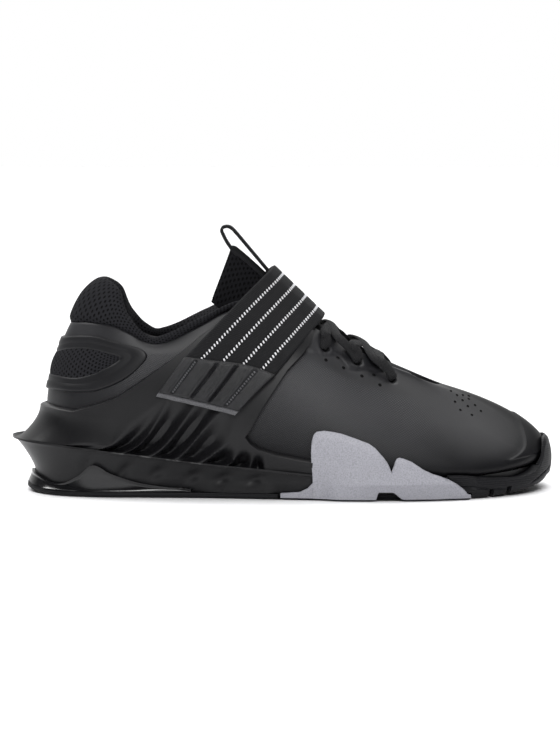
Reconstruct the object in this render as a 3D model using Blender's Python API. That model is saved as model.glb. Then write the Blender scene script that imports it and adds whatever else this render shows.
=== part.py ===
"""Weightlifting shoe, right foot, at its real size. Metres, +X to the toe, +Y to the medial side, +Z up."""

import math

import bmesh
import bpy
import numpy as np

# Driving sizes.
LAST_LENGTH = 0.300  # what the tables' "along" runs over
HALF_BALL = 0.050  # what "lateral" and "medial" are shares of
COLLAR_HEIGHT = 0.125  # what "rise" is a share of
MIDDLE_SHARE = 0.4965  # "along" of the origin

WALL = 0.0024  # upper's wall
GAP = 0.0003  # between two pieces that touch
OUTSOLE = 0.0030
WING_WALL = 0.0019  # midsole where it laps up the upper
RIM_WALL = 0.0036  # midsole's rim at the heel
LAP = 0.0012  # between the upper and what is moulded round it
FLUTE_DEPTH = 0.0062
INSOLE = 0.0040
STRAP_WALL = 0.0024
TAB_WALL = 0.0016
LACE_WIDTH = 0.0066
LACE_WALL = 0.0028
PLATE_FOOT = 0.0040  # heel plate's thickness at the floor
PLATE_EDGE = 0.0012
WRAP_WALL = 0.0024
WRAP_REAR = 0.0021  # its strip behind the forefoot, beyond the midsole
COUNTER_WALL = 0.0012
TONGUE_WALL = 0.0055
LOOP_WIDTH = 0.0100
LOOP_WALL = 0.0013

HALF = 12  # stations 0 to 12 run from the heel round the lateral side to the toe
ROUND = 24  # and 12 to 24 go back round the medial side

# Each ring has one row for each station: along, lateral, medial, rise.
SOLE = [
    (0.004, 0.00, 0.00, 0.020), (0.020, 0.36, 0.36, 0.008), (0.067, 0.62, 0.62, 0.0),
    (0.147, 0.75, 0.73, 0.0), (0.240, 0.78, 0.72, 0.0), (0.340, 0.81, 0.68, 0.0),
    (0.440, 0.88, 0.68, 0.0), (0.547, 0.97, 0.76, 0.0), (0.660, 1.02, 0.92, 0.0),
    (0.780, 0.96, 1.04, 0.0), (0.887, 0.76, 1.00, 0.006), (0.972, 0.38, 0.70, 0.030),
    (1.003, -0.16, 0.16, 0.052),
]
WAIST = [
    (0.017, 0.00, 0.00, 0.093), (0.032, 0.32, 0.32, 0.093), (0.077, 0.57, 0.57, 0.093),
    (0.153, 0.70, 0.68, 0.092), (0.240, 0.74, 0.67, 0.088), (0.340, 0.78, 0.64, 0.080),
    (0.440, 0.86, 0.65, 0.076), (0.547, 0.95, 0.74, 0.072), (0.660, 1.00, 0.90, 0.072),
    (0.780, 0.95, 1.03, 0.072), (0.887, 0.76, 0.98, 0.080), (0.977, 0.38, 0.68, 0.104),
    (1.015, -0.16, 0.16, 0.122),
]
CREST = [
    (-0.024, 0.00, 0.00, 0.252), (0.000, 0.38, 0.38, 0.248), (0.063, 0.67, 0.66, 0.240),
    (0.157, 0.81, 0.77, 0.215), (0.240, 0.84, 0.75, 0.193), (0.333, 0.87, 0.73, 0.165),
    (0.440, 0.92, 0.72, 0.142), (0.547, 0.99, 0.79, 0.119), (0.660, 1.03, 0.93, 0.104),
    (0.780, 0.97, 1.05, 0.104), (0.887, 0.78, 1.00, 0.116), (0.977, 0.39, 0.69, 0.150),
    (1.013, -0.16, 0.16, 0.184),
]
FEATHER = [
    (0.067, 0.00, 0.00, 0.240), (0.080, 0.28, 0.28, 0.240), (0.117, 0.50, 0.50, 0.236),
    (0.187, 0.62, 0.61, 0.224), (0.267, 0.64, 0.58, 0.208), (0.353, 0.66, 0.56, 0.184),
    (0.447, 0.74, 0.58, 0.148), (0.553, 0.85, 0.68, 0.112), (0.660, 0.91, 0.83, 0.096),
    (0.773, 0.86, 0.93, 0.096), (0.873, 0.69, 0.89, 0.104), (0.953, 0.32, 0.60, 0.120),
    (0.985, -0.16, 0.16, 0.140),
]
GIRTH = [
    (0.040, 0.00, 0.00, 0.400), (0.060, 0.33, 0.33, 0.400), (0.103, 0.60, 0.59, 0.392),
    (0.180, 0.71, 0.69, 0.376), (0.267, 0.74, 0.68, 0.360), (0.353, 0.79, 0.70, 0.344),
    (0.447, 0.86, 0.73, 0.312), (0.553, 0.95, 0.82, 0.264), (0.660, 0.99, 0.94, 0.224),
    (0.773, 0.92, 1.01, 0.192), (0.873, 0.73, 0.95, 0.176), (0.960, 0.35, 0.66, 0.192),
    (0.997, -0.16, 0.16, 0.208),
]
SHOULDER = [
    (0.068, 0.00, 0.00, 0.672), (0.083, 0.25, 0.25, 0.668), (0.123, 0.49, 0.48, 0.650),
    (0.183, 0.64, 0.62, 0.610), (0.260, 0.70, 0.65, 0.595), (0.347, 0.72, 0.67, 0.600),
    (0.443, 0.72, 0.67, 0.608), (0.553, 0.73, 0.68, 0.528), (0.653, 0.72, 0.73, 0.432),
    (0.753, 0.60, 0.73, 0.372), (0.847, 0.38, 0.68, 0.336), (0.917, 0.12, 0.44, 0.330),
    (0.940, -0.12, 0.12, 0.340),
]
TOP_LINE = [
    (0.137, 0.00, 0.00, 0.960), (0.150, 0.18, 0.18, 0.956), (0.177, 0.34, 0.34, 0.912),
    (0.210, 0.46, 0.46, 0.808), (0.267, 0.54, 0.54, 0.728), (0.343, 0.54, 0.54, 0.800),
    (0.420, 0.44, 0.44, 0.876), (0.507, 0.34, 0.34, 0.808), (0.587, 0.30, 0.30, 0.704),
    (0.667, 0.27, 0.29, 0.608), (0.740, 0.24, 0.28, 0.532), (0.780, 0.14, 0.22, 0.492),
    (0.795, -0.04, 0.04, 0.484),
]
# The midsole's rim on the upper: station at the crest, then station and share up the upper at the rim.
RIM = [
    (0.0, 0.00, 0.345), (1.0, 1.00, 0.340), (2.0, 2.00, 0.328), (2.5, 2.48, 0.370), (3.0, 3.02, 0.440),
    (3.25, 3.70, 0.575), (3.5, 4.35, 0.710), (3.75, 4.95, 0.840), (4.0, 5.50, 0.925), (4.25, 6.20, 0.940),
    (4.5, 6.90, 0.950), (4.75, 7.28, 0.930), (5.0, 6.52, 0.667), (5.2, 6.02, 0.428), (5.35, 5.86, 0.335),
    (5.5, 5.76, 0.280), (5.75, 5.87, 0.240), (6.0, 6.04, 0.208), (6.3, 6.32, 0.192), (6.6, 6.62, 0.186),
    (7.0, 7.00, 0.180), (12.0, 12.0, 0.100),
]
RIM_LEAN = 2.2
FLARE_FADE = 3.2
# Where the collar pad meets the upper: station and share up the upper.
COLLAR_SEAM = [
    (0.0, 0.770), (1.0, 0.785), (2.0, 0.815), (2.7, 0.866), (3.7, 0.905), (4.4, 0.903), (4.85, 0.925),
    (5.3, 0.955), (6.0, 0.960), (7.0, 0.970),
]
COLLAR_END = 6.5
SEAM_GAP = 0.006  # between the upper's top edge and the collar, as a share up the upper
# Depth of the collar pad inside the upper, as a share of its full depth.
PAD_DEPTH = [(0.0, 1.0), (5.0, 1.0), (6.0, 0.62), (6.5, 0.45)]
# The heel plate's wavy top edge: station and height share.
PLATE_TOP = [
    (0.0, 0.093), (1.0, 0.078), (1.6, 0.058), (2.1, 0.060), (2.45, 0.095), (2.8, 0.146), (3.2, 0.108),
    (3.75, 0.070), (4.2, 0.052), (4.8, 0.040),
]
FLUTE_START, FLUTE_END, FLUTES = 1.9, 6.15, 6

# The forefoot wrap's top edge: station and height share.
WRAP_TOP = [
    (6.45, 0.034), (6.80, 0.037), (6.90, 0.046), (6.97, 0.062), (7.012, 0.080), (7.03, 0.130),
    (7.05, 0.264), (7.15, 0.300), (7.6, 0.288), (8.0, 0.240), (8.15, 0.200), (8.27, 0.125), (8.36, 0.180), (8.46, 0.188), (8.9, 0.120),
    (9.2, 0.090), (9.62, 0.010),
]
# The toe bumper's top edge.
BUMPER_TOP = [
    (9.66, 0.056), (10.4, 0.066), (10.8, 0.082), (11.05, 0.108), (11.2, 0.135), (11.4, 0.180), (11.6, 0.212),
    (11.8, 0.232), (12.0, 0.238),
]


# The heel counter's ring, from the top at the heel round to the bottom: outer edge, then window edge.
COUNTER = [
    (0.00, 0.700, 0.00, 0.620), (0.65, 0.704, 0.45, 0.625), (1.48, 0.731, 1.05, 0.645), (2.53, 0.771, 1.80, 0.672),
    (3.20, 0.795, 2.45, 0.690), (3.60, 0.795, 2.90, 0.700), (3.74, 0.750, 3.03, 0.690), (3.66, 0.690, 2.95, 0.662),
    (3.28, 0.582, 2.70, 0.617), (2.75, 0.498, 2.28, 0.556), (2.22, 0.453, 1.75, 0.520), (1.03, 0.428, 0.70, 0.512),
    (0.00, 0.422, 0.00, 0.510),
]
# The tongue, top to toe: along and rise of its middle, then along, side and rise of its edges.
TONGUE = [
    (0.3965, 1.1240, 0.3565, 0.300, 0.8720), (0.4282, 1.0600, 0.3815, 0.310, 0.8240),
    (0.4605, 0.9880, 0.4165, 0.330, 0.7800), (0.4965, 0.9040, 0.4598, 0.360, 0.7440),
    (0.5232, 0.8400, 0.4965, 0.390, 0.7040), (0.5565, 0.7680, 0.5398, 0.410, 0.6640),
    (0.5965, 0.7000, 0.5865, 0.390, 0.6200), (0.6465, 0.6320, 0.6432, 0.360, 0.5640),
    (0.6965, 0.5640, 0.6965, 0.320, 0.5080), (0.7432, 0.5000, 0.7432, 0.280, 0.4520),
    (0.7765, 0.4520, 0.7765, 0.240, 0.4160), (0.8098, 0.4120, 0.8098, 0.180, 0.3880),
]
# The pull loop's path in the middle plane: along and rise.
PULL_LOOP = [
    (0.3792, 1.0600), (0.3792, 1.0976), (0.3775, 1.1376), (0.3752, 1.1720), (0.3778, 1.1952),
    (0.3912, 1.1952), (0.4082, 1.1600), (0.4305, 1.0912), (0.4545, 1.0160), (0.4665, 0.9832),
]
# The strap's rows on the wing: station and share up the upper at its rear edge and at its front edge.
STRAP_ON = [(4.60, 0.712, 6.30, 0.617), (5.05, 0.835, 6.66, 0.735)]
STRAP_END = [(4.25, 0.600, 6.00, 0.500)]
# Its rows clear of the wing: along, side and rise at its rear edge, then at its front edge.
STRAP_OVER = [
    (0.3915, 0.680, 0.8320, 0.5248, 0.750, 0.6800), (0.4282, 0.516, 0.9200, 0.5465, 0.556, 0.7344),
    (0.4582, 0.270, 0.9920, 0.5632, 0.290, 0.7800), (0.4705, 0.000, 1.0200, 0.5688, 0.000, 0.7936),
]
STRAP_REST = 0.0006
STRAP_FLARE = 0.0115
# The tab's corners, station and share: top edge rear and front, then lower edge rear and front.
TAB = [((4.60, 0.712), (6.30, 0.617)), ((3.98, 0.498), (5.65, 0.423))]
# Eyelets on either side, station and share up the upper.
EYELETS = {"upper": (7.45, 0.886), "lower": (8.20, 0.906), "front": (8.88, 0.876)}
EYELET_RADIUS = 0.0024
LACE_RISE = 0.0042
LACE_END = 0.0018  # width and wall in the holes
# A strand's way out of its hole: stations towards the next eyelet, share above this one, and height.
LACE_LEG = [(0.0, 0.006, 0.0018), (0.10, 0.040, 0.0036), (0.26, 0.085, 0.0042)]
LACE_SINK = 0.0010
LACE_SHIFT = 0.016  # stations between the runs that share an eyelet
# Each lace run: eyelet and side (-1 lateral) at both ends.
LACE_RUNS = [
    (("front", -1), ("front", 1)), (("front", -1), ("lower", 1)), (("lower", -1), ("front", 1)),
    (("lower", -1), ("upper", 1)), (("upper", -1), ("lower", 1)),
]


# Steps of the stations round the toe, shared by midsole and outsole: end station, number of steps.
TOE_STEPS = [(9.0, 4), (9.56, 1), (9.62, 1), (10.5, 2), (12.0, 6)]


def column(rows, key, values):
    """Piecewise linear reading of a table: rows' first entries against entry `key`."""
    return np.interp(values, [r[0] for r in rows], [r[key] for r in rows])


def place_x(along):
    return (np.asarray(along, float) - MIDDLE_SHARE) * LAST_LENGTH


def ring(rows, station):
    """Point of a closed ring at a station, by a periodic Catmull-Rom curve."""
    points = []
    for index in range(ROUND):
        along, lateral, medial, rise = rows[index if index <= HALF else ROUND - index]
        side = -lateral if index <= HALF else medial
        points.append((place_x(along), side * HALF_BALL, rise * COLLAR_HEIGHT))
    points = np.array(points)
    station = np.asarray(station, float) % ROUND
    base = np.floor(station).astype(int)
    part = (station - base)[..., None]
    before, here, after, beyond = (points[(base + k) % ROUND] for k in (-1, 0, 1, 2))
    return 0.5 * (
        2 * here
        + (after - before) * part
        + (2 * before - 5 * here + 4 * after - beyond) * part**2
        + (3 * here - before - 3 * after + beyond) * part**3
    )


def upper_at(station, share):
    """Point of the upper's outer face: a cubic through feather, girth, shoulder and top line."""
    share = np.asarray(share, float)[..., None]
    knots = (0.0, 1 / 3, 2 / 3, 1.0)
    total = 0
    for index, rows in enumerate((FEATHER, GIRTH, SHOULDER, TOP_LINE)):
        weight = 1.0
        for other in range(4):
            if other != index:
                weight = weight * (share - knots[other]) / (knots[index] - knots[other])
        total = total + weight * ring(rows, station)
    return total


def unit(vectors):
    return vectors / np.linalg.norm(vectors, axis=-1, keepdims=True)


def upper_normal(station, share):
    """Outward normal of the upper's outer face."""
    step = 0.01
    station, share = np.asarray(station, float), np.asarray(share, float)
    around = upper_at(station + step, share) - upper_at(station - step, share)
    up = upper_at(station, share + step) - upper_at(station, share - step)
    return unit(np.cross(around, up))


def on_upper(station, share, out):
    """Point at a distance outside the upper's outer face."""
    return upper_at(station, share) + upper_normal(station, share) * np.asarray(out, float)[..., None]


def plan_normal(rows, station):
    """Horizontal outward normal of a ring."""
    step = 0.05
    around = ring(rows, np.asarray(station) + step) - ring(rows, np.asarray(station) - step)
    return unit(np.stack([around[..., 1], -around[..., 0], np.zeros_like(around[..., 0])], axis=-1))


def folded(station):
    """A station on either side as the lateral station that its table row has."""
    station = np.asarray(station, float) % ROUND
    return np.minimum(station, ROUND - station)


def unfolded(station, lateral_station):
    """A lateral station put back on the side that `station` is on."""
    on_lateral = (np.asarray(station, float) % ROUND) <= HALF
    return np.where(on_lateral, lateral_station, ROUND - lateral_station)


def material(name, colour, roughness, metallic=0.0):
    made = bpy.data.materials.get(name) or bpy.data.materials.new(name)
    made.use_nodes = True
    shader = made.node_tree.nodes["Principled BSDF"]
    shader.inputs["Base Color"].default_value = (*colour, 1.0)
    shader.inputs["Roughness"].default_value = roughness
    shader.inputs["Metallic"].default_value = metallic
    return made


def solid(name, points, faces, finish):
    """A named object from points and faces, its faces turned outward."""
    mesh = bpy.data.meshes.new(name)
    mesh.from_pydata([tuple(map(float, p)) for p in points], [], faces)
    work = bmesh.new()
    work.from_mesh(mesh)
    bmesh.ops.recalc_face_normals(work, faces=work.faces)
    if work.calc_volume(signed=True) < 0:
        bmesh.ops.reverse_faces(work, faces=work.faces)
    work.to_mesh(mesh)
    work.free()
    mesh.materials.append(finish)
    mesh.shade_smooth()
    mesh.set_sharp_from_angle(angle=math.radians(40))
    made = bpy.data.objects.new(name, mesh)
    bpy.context.scene.collection.objects.link(made)
    return made


def bridge(rows, columns, loops_close, rows_close):
    """Quads between neighbouring loops, each of `columns` points; `rows_close` joins last to first."""
    faces = []
    for row in range(rows if rows_close else rows - 1):
        below, above = row * columns, ((row + 1) % rows) * columns
        for spot in range(columns if loops_close else columns - 1):
            following = (spot + 1) % columns
            faces.append((below + spot, below + following, above + following, above + spot))
    return faces


def ladder(first, columns):
    """Quads across a closed loop from its lateral to its medial side, heel at the first point."""
    faces, half = [], columns // 2
    for spot in range(half):
        near, far = first + (columns - spot) % columns, first + (columns - spot - 1) % columns
        quad = [first + spot, first + spot + 1, far, near]
        faces.append(tuple(dict.fromkeys(quad)))
    return faces


def stations(spans):
    """Stations from the heel round to the heel: spans of (end station, number of steps), mirrored."""
    lateral, start = [0.0], 0.0
    for end, steps in spans:
        lateral += list(np.linspace(start, end, steps + 1)[1:])
        start = end
    return np.array(lateral + [ROUND - s for s in reversed(lateral[1:-1])])


def cup(name, loops, finish):
    """A closed solid from stacked closed loops, its first and last loop closed by ladders."""
    columns = len(loops[0])
    faces = bridge(len(loops), columns, True, False)
    faces += ladder(0, columns) + ladder((len(loops) - 1) * columns, columns)
    return solid(name, np.concatenate(loops), faces, finish)


def tube(name, sections, finish):
    """A closed solid along open sections: each section is a closed loop, and both ends are capped."""
    columns = len(sections[0])
    faces = bridge(len(sections), columns, True, False)
    faces += [tuple(range(columns)), tuple((len(sections) - 1) * columns + k for k in range(columns))]
    return solid(name, np.concatenate(sections), faces, finish)


def sheet(name, outer, inner, finish):
    """A closed solid between two grids of points of the same shape."""
    rows, columns = outer.shape[:2]
    points = np.concatenate([outer.reshape(-1, 3), inner.reshape(-1, 3)])
    back = rows * columns
    faces = bridge(rows, columns, False, False)
    faces += [tuple(back + k for k in reversed(f)) for f in faces]
    for row in range(rows - 1):
        for edge in (0, columns - 1):
            a, b = row * columns + edge, (row + 1) * columns + edge
            faces.append((a, b, back + b, back + a))
    for spot in range(columns - 1):
        for edge in (0, rows - 1):
            a, b = edge * columns + spot, edge * columns + spot + 1
            faces.append((a, b, back + b, back + a))
    return solid(name, points, faces, finish)


def collar_seam(station):
    """Share up the upper of its own top edge: the collar seam, or the throat's edge."""
    lateral = folded(station)
    seam = column(COLLAR_SEAM, 1, lateral)
    return np.where(lateral <= COLLAR_END + 0.2, seam, 1.0)


def make_upper(finish):
    around = stations([(6.5, 18), (6.75, 1), (12.0, 14)])
    top = collar_seam(around)
    loops = []
    for share in (0.0, 0.12, 0.26, 0.41, 0.56, 0.71, 0.86, 1.0):
        loops.append(on_upper(around, share * top, np.zeros_like(around)))
    for share in (1.0, 0.75, 0.5, 0.28, 0.12, 0.0):
        loops.append(on_upper(around, share * top, np.full_like(around, -WALL)))
    columns = len(around)
    faces = bridge(len(loops), columns, True, True)
    return solid("upper", np.concatenate(loops), faces, finish)


def make_collar(finish):
    """The padded mesh collar: a rolled edge above the seam, and a pad inside the wall below it."""
    lateral = np.linspace(-COLLAR_END, COLLAR_END, 37)
    lateral[[0, -1]] *= 0.991
    seam = collar_seam(lateral)
    span = 1.0 - seam
    inside = -WALL - LAP
    # share above the seam in spans of the collar, and distance out of the upper's face
    profile = [
        (0.0, 0.0), (0.15, 0.0026), (0.65, 0.0034), (1.05, 0.0002), (1.05, -0.0055), (0.75, -0.0090),
        (-0.3, -0.0084), (-1.0, inside - 0.0012), (-1.0, inside), (0.0, inside),
    ]
    sections = []
    for row, station in enumerate(lateral):
        depth = column(PAD_DEPTH, 1, folded(station))
        shares = np.array([seam[row] + SEAM_GAP * (p[0] >= 0) + span[row] * p[0] for p in profile])
        outs = np.array([p[1] if p[1] > inside else inside + (p[1] - inside) * depth for p in profile])
        sections.append(on_upper(np.full(len(profile), station), shares, outs))
    return tube("collar", sections, finish)


def rear_cover(station):
    """1 where the midsole has its side wall, 0 in the forefoot, where the wraps stand."""
    return np.where(folded(station) <= 7.0, 1.0, 0.0)


def core_foot(station, height):
    """Side of the plain forefoot core under the upper, at a height."""
    edge = ring(FEATHER, station) + plan_normal(FEATHER, station) * LAP
    edge[..., 2] = height
    return edge


def lower_wall(station, part):
    """The midsole's side below the crest: 0 on the outsole, 1 on the crest."""
    station = np.asarray(station, float)
    inset = (PLATE_FOOT + GAP) * plate_cover(station)[..., None]
    foot = ring(SOLE, station) - plan_normal(SOLE, station) * inset
    foot[..., 2] += OUTSOLE + GAP
    waist, crest = ring(WAIST, station), ring(CREST, station)
    share = np.asarray(part, float)[..., None]
    low = foot + (waist - foot) * np.clip(share / 0.4, 0, 1)
    rise = np.clip((share - 0.4) / 0.6, 0, 1)
    flare = rise**1.35
    high = np.concatenate([waist[..., :2] + (crest - waist)[..., :2] * flare,
                           waist[..., 2:] + (crest - waist)[..., 2:] * rise], axis=-1)
    return np.where(share < 0.4, low, high)


def plate_cover(station):
    """1 round the heel, where the heel plate covers the midsole's foot, fading to 0 at its end."""
    return np.interp(folded(station), (4.6, 5.4, 6.2, 6.4), (1.0, 0.15, 0.15, 0.65))


def flute(station, part):
    """Depth share of the flutes above the crest: pointed ridges between rounded troughs."""
    lateral = folded(station)
    phase = (lateral - FLUTE_START) / (FLUTE_END - FLUTE_START)
    wave = np.abs(np.sin(math.pi * FLUTES * phase)) ** 0.8
    inside = np.clip(phase * 6, 0, 1) * np.clip((1 - phase) * 6, 0, 1)
    rise = np.clip(part / 0.10, 0, 1) * np.clip((0.62 - part) / 0.45, 0, 1)
    return wave * inside * rise


def rim_path(station, part):
    """Station and share up the upper along a column of the midsole's side, from feather to rim."""
    lateral = folded(station)
    lean = (column(RIM, 1, lateral) - lateral) * part**RIM_LEAN
    return unfolded(station, lateral + lean), column(RIM, 2, lateral) * part


def lap(share):
    """Gap between the upper and the midsole moulded round it."""
    return LAP * (1 + 0.75 * np.clip(share / 0.3, 0, 1))


def upper_wall(station, part):
    """The midsole's side above the crest: 0 on the crest, 1 on the rim that laps the upper."""
    station, part = np.broadcast_arrays(np.asarray(station, float), np.asarray(part, float))
    lateral = folded(station)
    at, share = rim_path(station, part)
    wall = RIM_WALL + (WING_WALL - RIM_WALL) * np.clip((lateral - 2.5) / 1.5, 0, 1)
    base = on_upper(at, share, lap(share) + wall * np.clip(part / 0.25, 0, 1))
    start = ring(CREST, station) - upper_at(station, np.zeros_like(station))
    fade = (1 - part) ** FLARE_FADE
    dent = flute(station, part) * FLUTE_DEPTH
    return base + start * fade[..., None] - plan_normal(CREST, station) * dent[..., None]


def make_midsole(finish):
    """Foam cup: its side under the crest, its laps up the upper, and a plain core in the forefoot."""
    around = stations([(1.5, 3), (6.5, 22), (6.99, 2), (7.005, 1)] + TOE_STEPS)
    rear = rear_cover(around)[:, None] > 0
    outline, bed = plan_normal(FEATHER, around), ring(FEATHER, around)
    bed[:, 2] -= GAP
    foot = ring(SOLE, around)[:, 2] + OUTSOLE + GAP
    loops = []
    for part in (0.0, 0.4, 0.75, 1.0):
        core = core_foot(around, foot + (bed[:, 2] - foot) * part)
        loops.append(np.where(rear, lower_wall(around, np.full_like(around, part)), core))
    lip = LAP
    for part in (0.08, 0.2, 0.36, 0.55, 0.78, 1.0):
        lip -= LAP / 18
        loops.append(np.where(rear, upper_wall(around, np.full_like(around, part)), bed + outline * lip))
    for part in (1.0, 0.88, 0.74, 0.58, 0.42, 0.28, 0.17, 0.08, 0.0):
        lip -= LAP / 18
        at, share = rim_path(around, np.full_like(around, part))
        inner = on_upper(at, share, lap(share))
        if part == 0.0:
            inner = beside_upper(around, bed[:, 2], LAP)
        loops.append(np.where(rear, inner, bed + outline * lip))
    return cup("midsole", loops, finish)


def plate_part(station, height):
    """Share of the midsole's lower wall at a height above the floor."""
    foot = ring(SOLE, station)[..., 2] + OUTSOLE + GAP
    waist, crest = ring(WAIST, station)[..., 2], ring(CREST, station)[..., 2]
    low = 0.4 * (height - foot) / (waist - foot)
    high = 0.4 + 0.6 * (height - waist) / (crest - waist)
    return np.clip(np.where(height < waist, low, high), 0, 1)


def make_heel_plate(finish):
    end = PLATE_TOP[-1][0]
    around = np.linspace(-end, end, 41)
    lateral = folded(around)
    top = column(PLATE_TOP, 1, lateral) * COLLAR_HEIGHT
    foot = ring(SOLE, around)[:, 2] + OUTSOLE + GAP
    top = np.maximum(top, foot + 0.0010)
    outer, inner = [], []
    for part in (0.0, 0.5, 1.0):
        share = plate_part(around, foot + (top - foot) * part)
        wall = lower_wall(around, share)
        normal = plan_normal(WAIST, around)
        foot_wall = PLATE_FOOT * plate_cover(around)
        thick = foot_wall + (PLATE_EDGE - foot_wall) * part**0.6
        inner.append(wall + normal * GAP)
        outer.append(wall + normal * (GAP + thick)[:, None])
    return sheet("heel_plate", np.array(outer), np.array(inner), finish)


def wall_outer(station, height, out=0.0):
    """Outer face of the forefoot side walls at a height: sole edge, crest, then the upper and a step."""
    station, height = np.asarray(station, float), np.asarray(height, float)
    foot, crest = ring(SOLE, station), ring(CREST, station)
    foot[..., 2] = 0
    low = np.clip(height / crest[..., 2], 0, 1)[..., None]
    side = foot + (crest - foot) * np.sin(low * math.pi / 2)
    high = beside_upper(station, height, LAP + WRAP_WALL + out)
    blend = np.clip((height - 0.55 * crest[..., 2]) / 0.012, 0, 1)[..., None]
    blend = blend * blend * (3 - 2 * blend)
    made = side * (1 - blend) + high * blend
    made[..., 2] = height
    return made


def share_at(station, height):
    """Share up the upper's rib at which it reaches a height."""
    low, high = np.zeros_like(height), np.ones_like(height)
    for _ in range(24):
        middle = (low + high) / 2
        above = upper_at(station, middle)[..., 2] > height
        high = np.where(above, middle, high)
        low = np.where(above, low, middle)
    return (low + high) / 2


def beside_upper(station, height, out):
    """Point at a height that lies `out` from the upper's outer face."""
    share = share_at(station, height)
    spot, level = upper_at(station, share), upper_normal(station, share)
    level[..., 2] = 0
    size = np.maximum(np.linalg.norm(level, axis=-1, keepdims=True), 0.5)
    spot = spot + level / size**2 * out
    spot[..., 2] = height
    return spot


def wall_inner(station, height):
    """Inner face of the forefoot side walls: clear of the core and of the upper."""
    beside = beside_upper(station, height, 1.5 * LAP)
    core = core_foot(station, height) + plan_normal(FEATHER, station) * LAP
    deeper = ((beside - core) * plan_normal(FEATHER, station)).sum(-1, keepdims=True) < 0
    return np.where(deeper, core, beside)


def make_wraps(finish):
    """The grey sidewalls of the forefoot, one on each side."""
    span = np.array([6.45, 6.70, 6.90, 6.975, 7.012, 7.03, 7.05, 7.15, 7.35, 7.6, 7.8, 8.0, 8.15, 8.27, 8.36, 8.46,
                     8.7, 8.9, 9.2, 9.55])
    for name, at in (("forefoot_wrap_lateral", span), ("forefoot_wrap_medial", ROUND - span)):
        behind = (folded(at) < 7.015)[:, None]
        foot = np.full_like(at, 0.0010)
        top = np.maximum(column(WRAP_TOP, 1, folded(at)) * COLLAR_HEIGHT, 0.0030)
        outer, inner = [], []
        for part in (0.0, 0.25, 0.5, 0.75, 1.0):
            height = foot + (top - foot) * part
            side = lower_wall(at, plate_part(at, height))
            side[:, 2] = height
            clear = side + plan_normal(SOLE, at) * 0.6 * LAP
            rear = side + plan_normal(SOLE, at) * WRAP_REAR
            outer.append(np.where(behind, rear, wall_outer(at, height, 0)))
            inner.append(np.where(behind, clear, wall_inner(at, height)))
        sheet(name, np.array(outer), np.array(inner), finish)


def make_outsole(finish):
    around = stations([(1.5, 5), (6.40, 10), (6.43, 1), (6.99, 2), (7.005, 1)] + TOE_STEPS)
    lateral = folded(around)
    sole, normal = ring(SOLE, around), plan_normal(SOLE, around)
    sole[:, 2] = np.maximum(sole[:, 2], 0.0)
    wrapped = ((lateral >= 6.42) & (lateral < 9.6))[:, None]
    toe = lateral >= 9.61
    recess = wall_inner(around, np.full_like(around, 0.0030)) - plan_normal(FEATHER, around) * 0.9 * LAP
    rear = lower_wall(around, np.zeros_like(around)) - normal * GAP
    recess = np.where((lateral < 7.0)[:, None], rear, recess)

    def level(inset, rise, keep=True):
        made = sole - normal * inset
        made[:, 2] = sole[:, 2] + rise
        if not keep:
            made[:, :2] = np.where(wrapped, recess[:, :2], made[:, :2])
        return made

    loops = [level(0.0016, 0.0), level(0.0006, 0.0007), level(0.0006, 0.00072, False)]
    loops.append(level(0.0, OUTSOLE * 0.75, False))
    top = np.where(toe, column(BUMPER_TOP, 1, lateral) * COLLAR_HEIGHT, sole[:, 2] + OUTSOLE)
    floor = sole[:, 2] + OUTSOLE
    outer_flat, inner_flat = level(0.0004, OUTSOLE, False), level(0.0042, OUTSOLE, False)
    inner_flat[:, :2] = np.where(wrapped, (recess - normal * 0.0002)[:, :2], inner_flat[:, :2])
    for part in (0.4, 0.75, 1.0):
        height = floor + (top - floor) * part
        bumper = wall_outer(around, height, -0.0008 * part**2)
        loops.append(np.where(toe[:, None], bumper, outer_flat - normal * 0.00012 * part))
    for part in (1.0, 0.68, 0.35, 0.0):
        height = floor + (top - floor) * part
        bumper = wall_inner(around, height)
        loops.append(np.where(toe[:, None], bumper, inner_flat - normal * 0.0002 * (1 - part)))
    return cup("outsole", loops, finish)


def smooth(rows, count):
    """Rows of numbers drawn out to `count` rows by a Catmull-Rom curve through them."""
    rows = np.asarray(rows, float)
    ends = np.concatenate([2 * rows[:1] - rows[1:2], rows, 2 * rows[-1:] - rows[-2:-1]])
    spots = np.linspace(0, len(rows) - 1, count)
    base = np.minimum(spots.astype(int), len(rows) - 2)
    part = (spots - base).reshape((-1,) + (1,) * (rows.ndim - 1))
    before, here, after, beyond = (ends[base + k] for k in range(4))
    return 0.5 * (
        2 * here
        + (after - before) * part
        + (2 * before - 5 * here + 4 * after - beyond) * part**2
        + (3 * here - before - 3 * after + beyond) * part**3
    )


def faces_out(grid):
    """Unit normals of a grid of points."""
    along = np.gradient(grid, axis=0)
    across = np.gradient(grid, axis=1)
    return unit(np.cross(along, across))


def make_insole(finish):
    around = stations([(12.0, 18)])
    floor = ring(FEATHER, around)[:, 2] + 2 * GAP
    loops = []
    for inset, rise in ((0.0012, 0.0), (0.0, 0.12), (0.0, 0.85), (0.0012, 1.0)):
        loops.append(beside_upper(around, floor + INSOLE * rise, -WALL - 1.5 * LAP - inset))
    cup("insole", loops, finish)


def make_heel_counter(finish):
    """The stiff ring moulded round the mesh window at the heel."""
    half = smooth(COUNTER, 18)
    mirror = half[1:-1][::-1] * np.array([-1, 1, -1, 1])
    rows = np.concatenate([half, mirror])
    loops = []
    low, high = 1.25 * LAP, 1.25 * LAP + COUNTER_WALL
    for part, out in ((0.0, low), (0.06, high), (0.94, high), (1.0, low), (0.5, low)):
        at = rows[:, 0] + (rows[:, 2] - rows[:, 0]) * part
        share = rows[:, 1] + (rows[:, 3] - rows[:, 1]) * part
        loops.append(on_upper(at, share, np.full(len(rows), out)))
    faces = bridge(len(loops), len(rows), True, True)
    solid("heel_counter", np.concatenate(loops), faces, finish)


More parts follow.
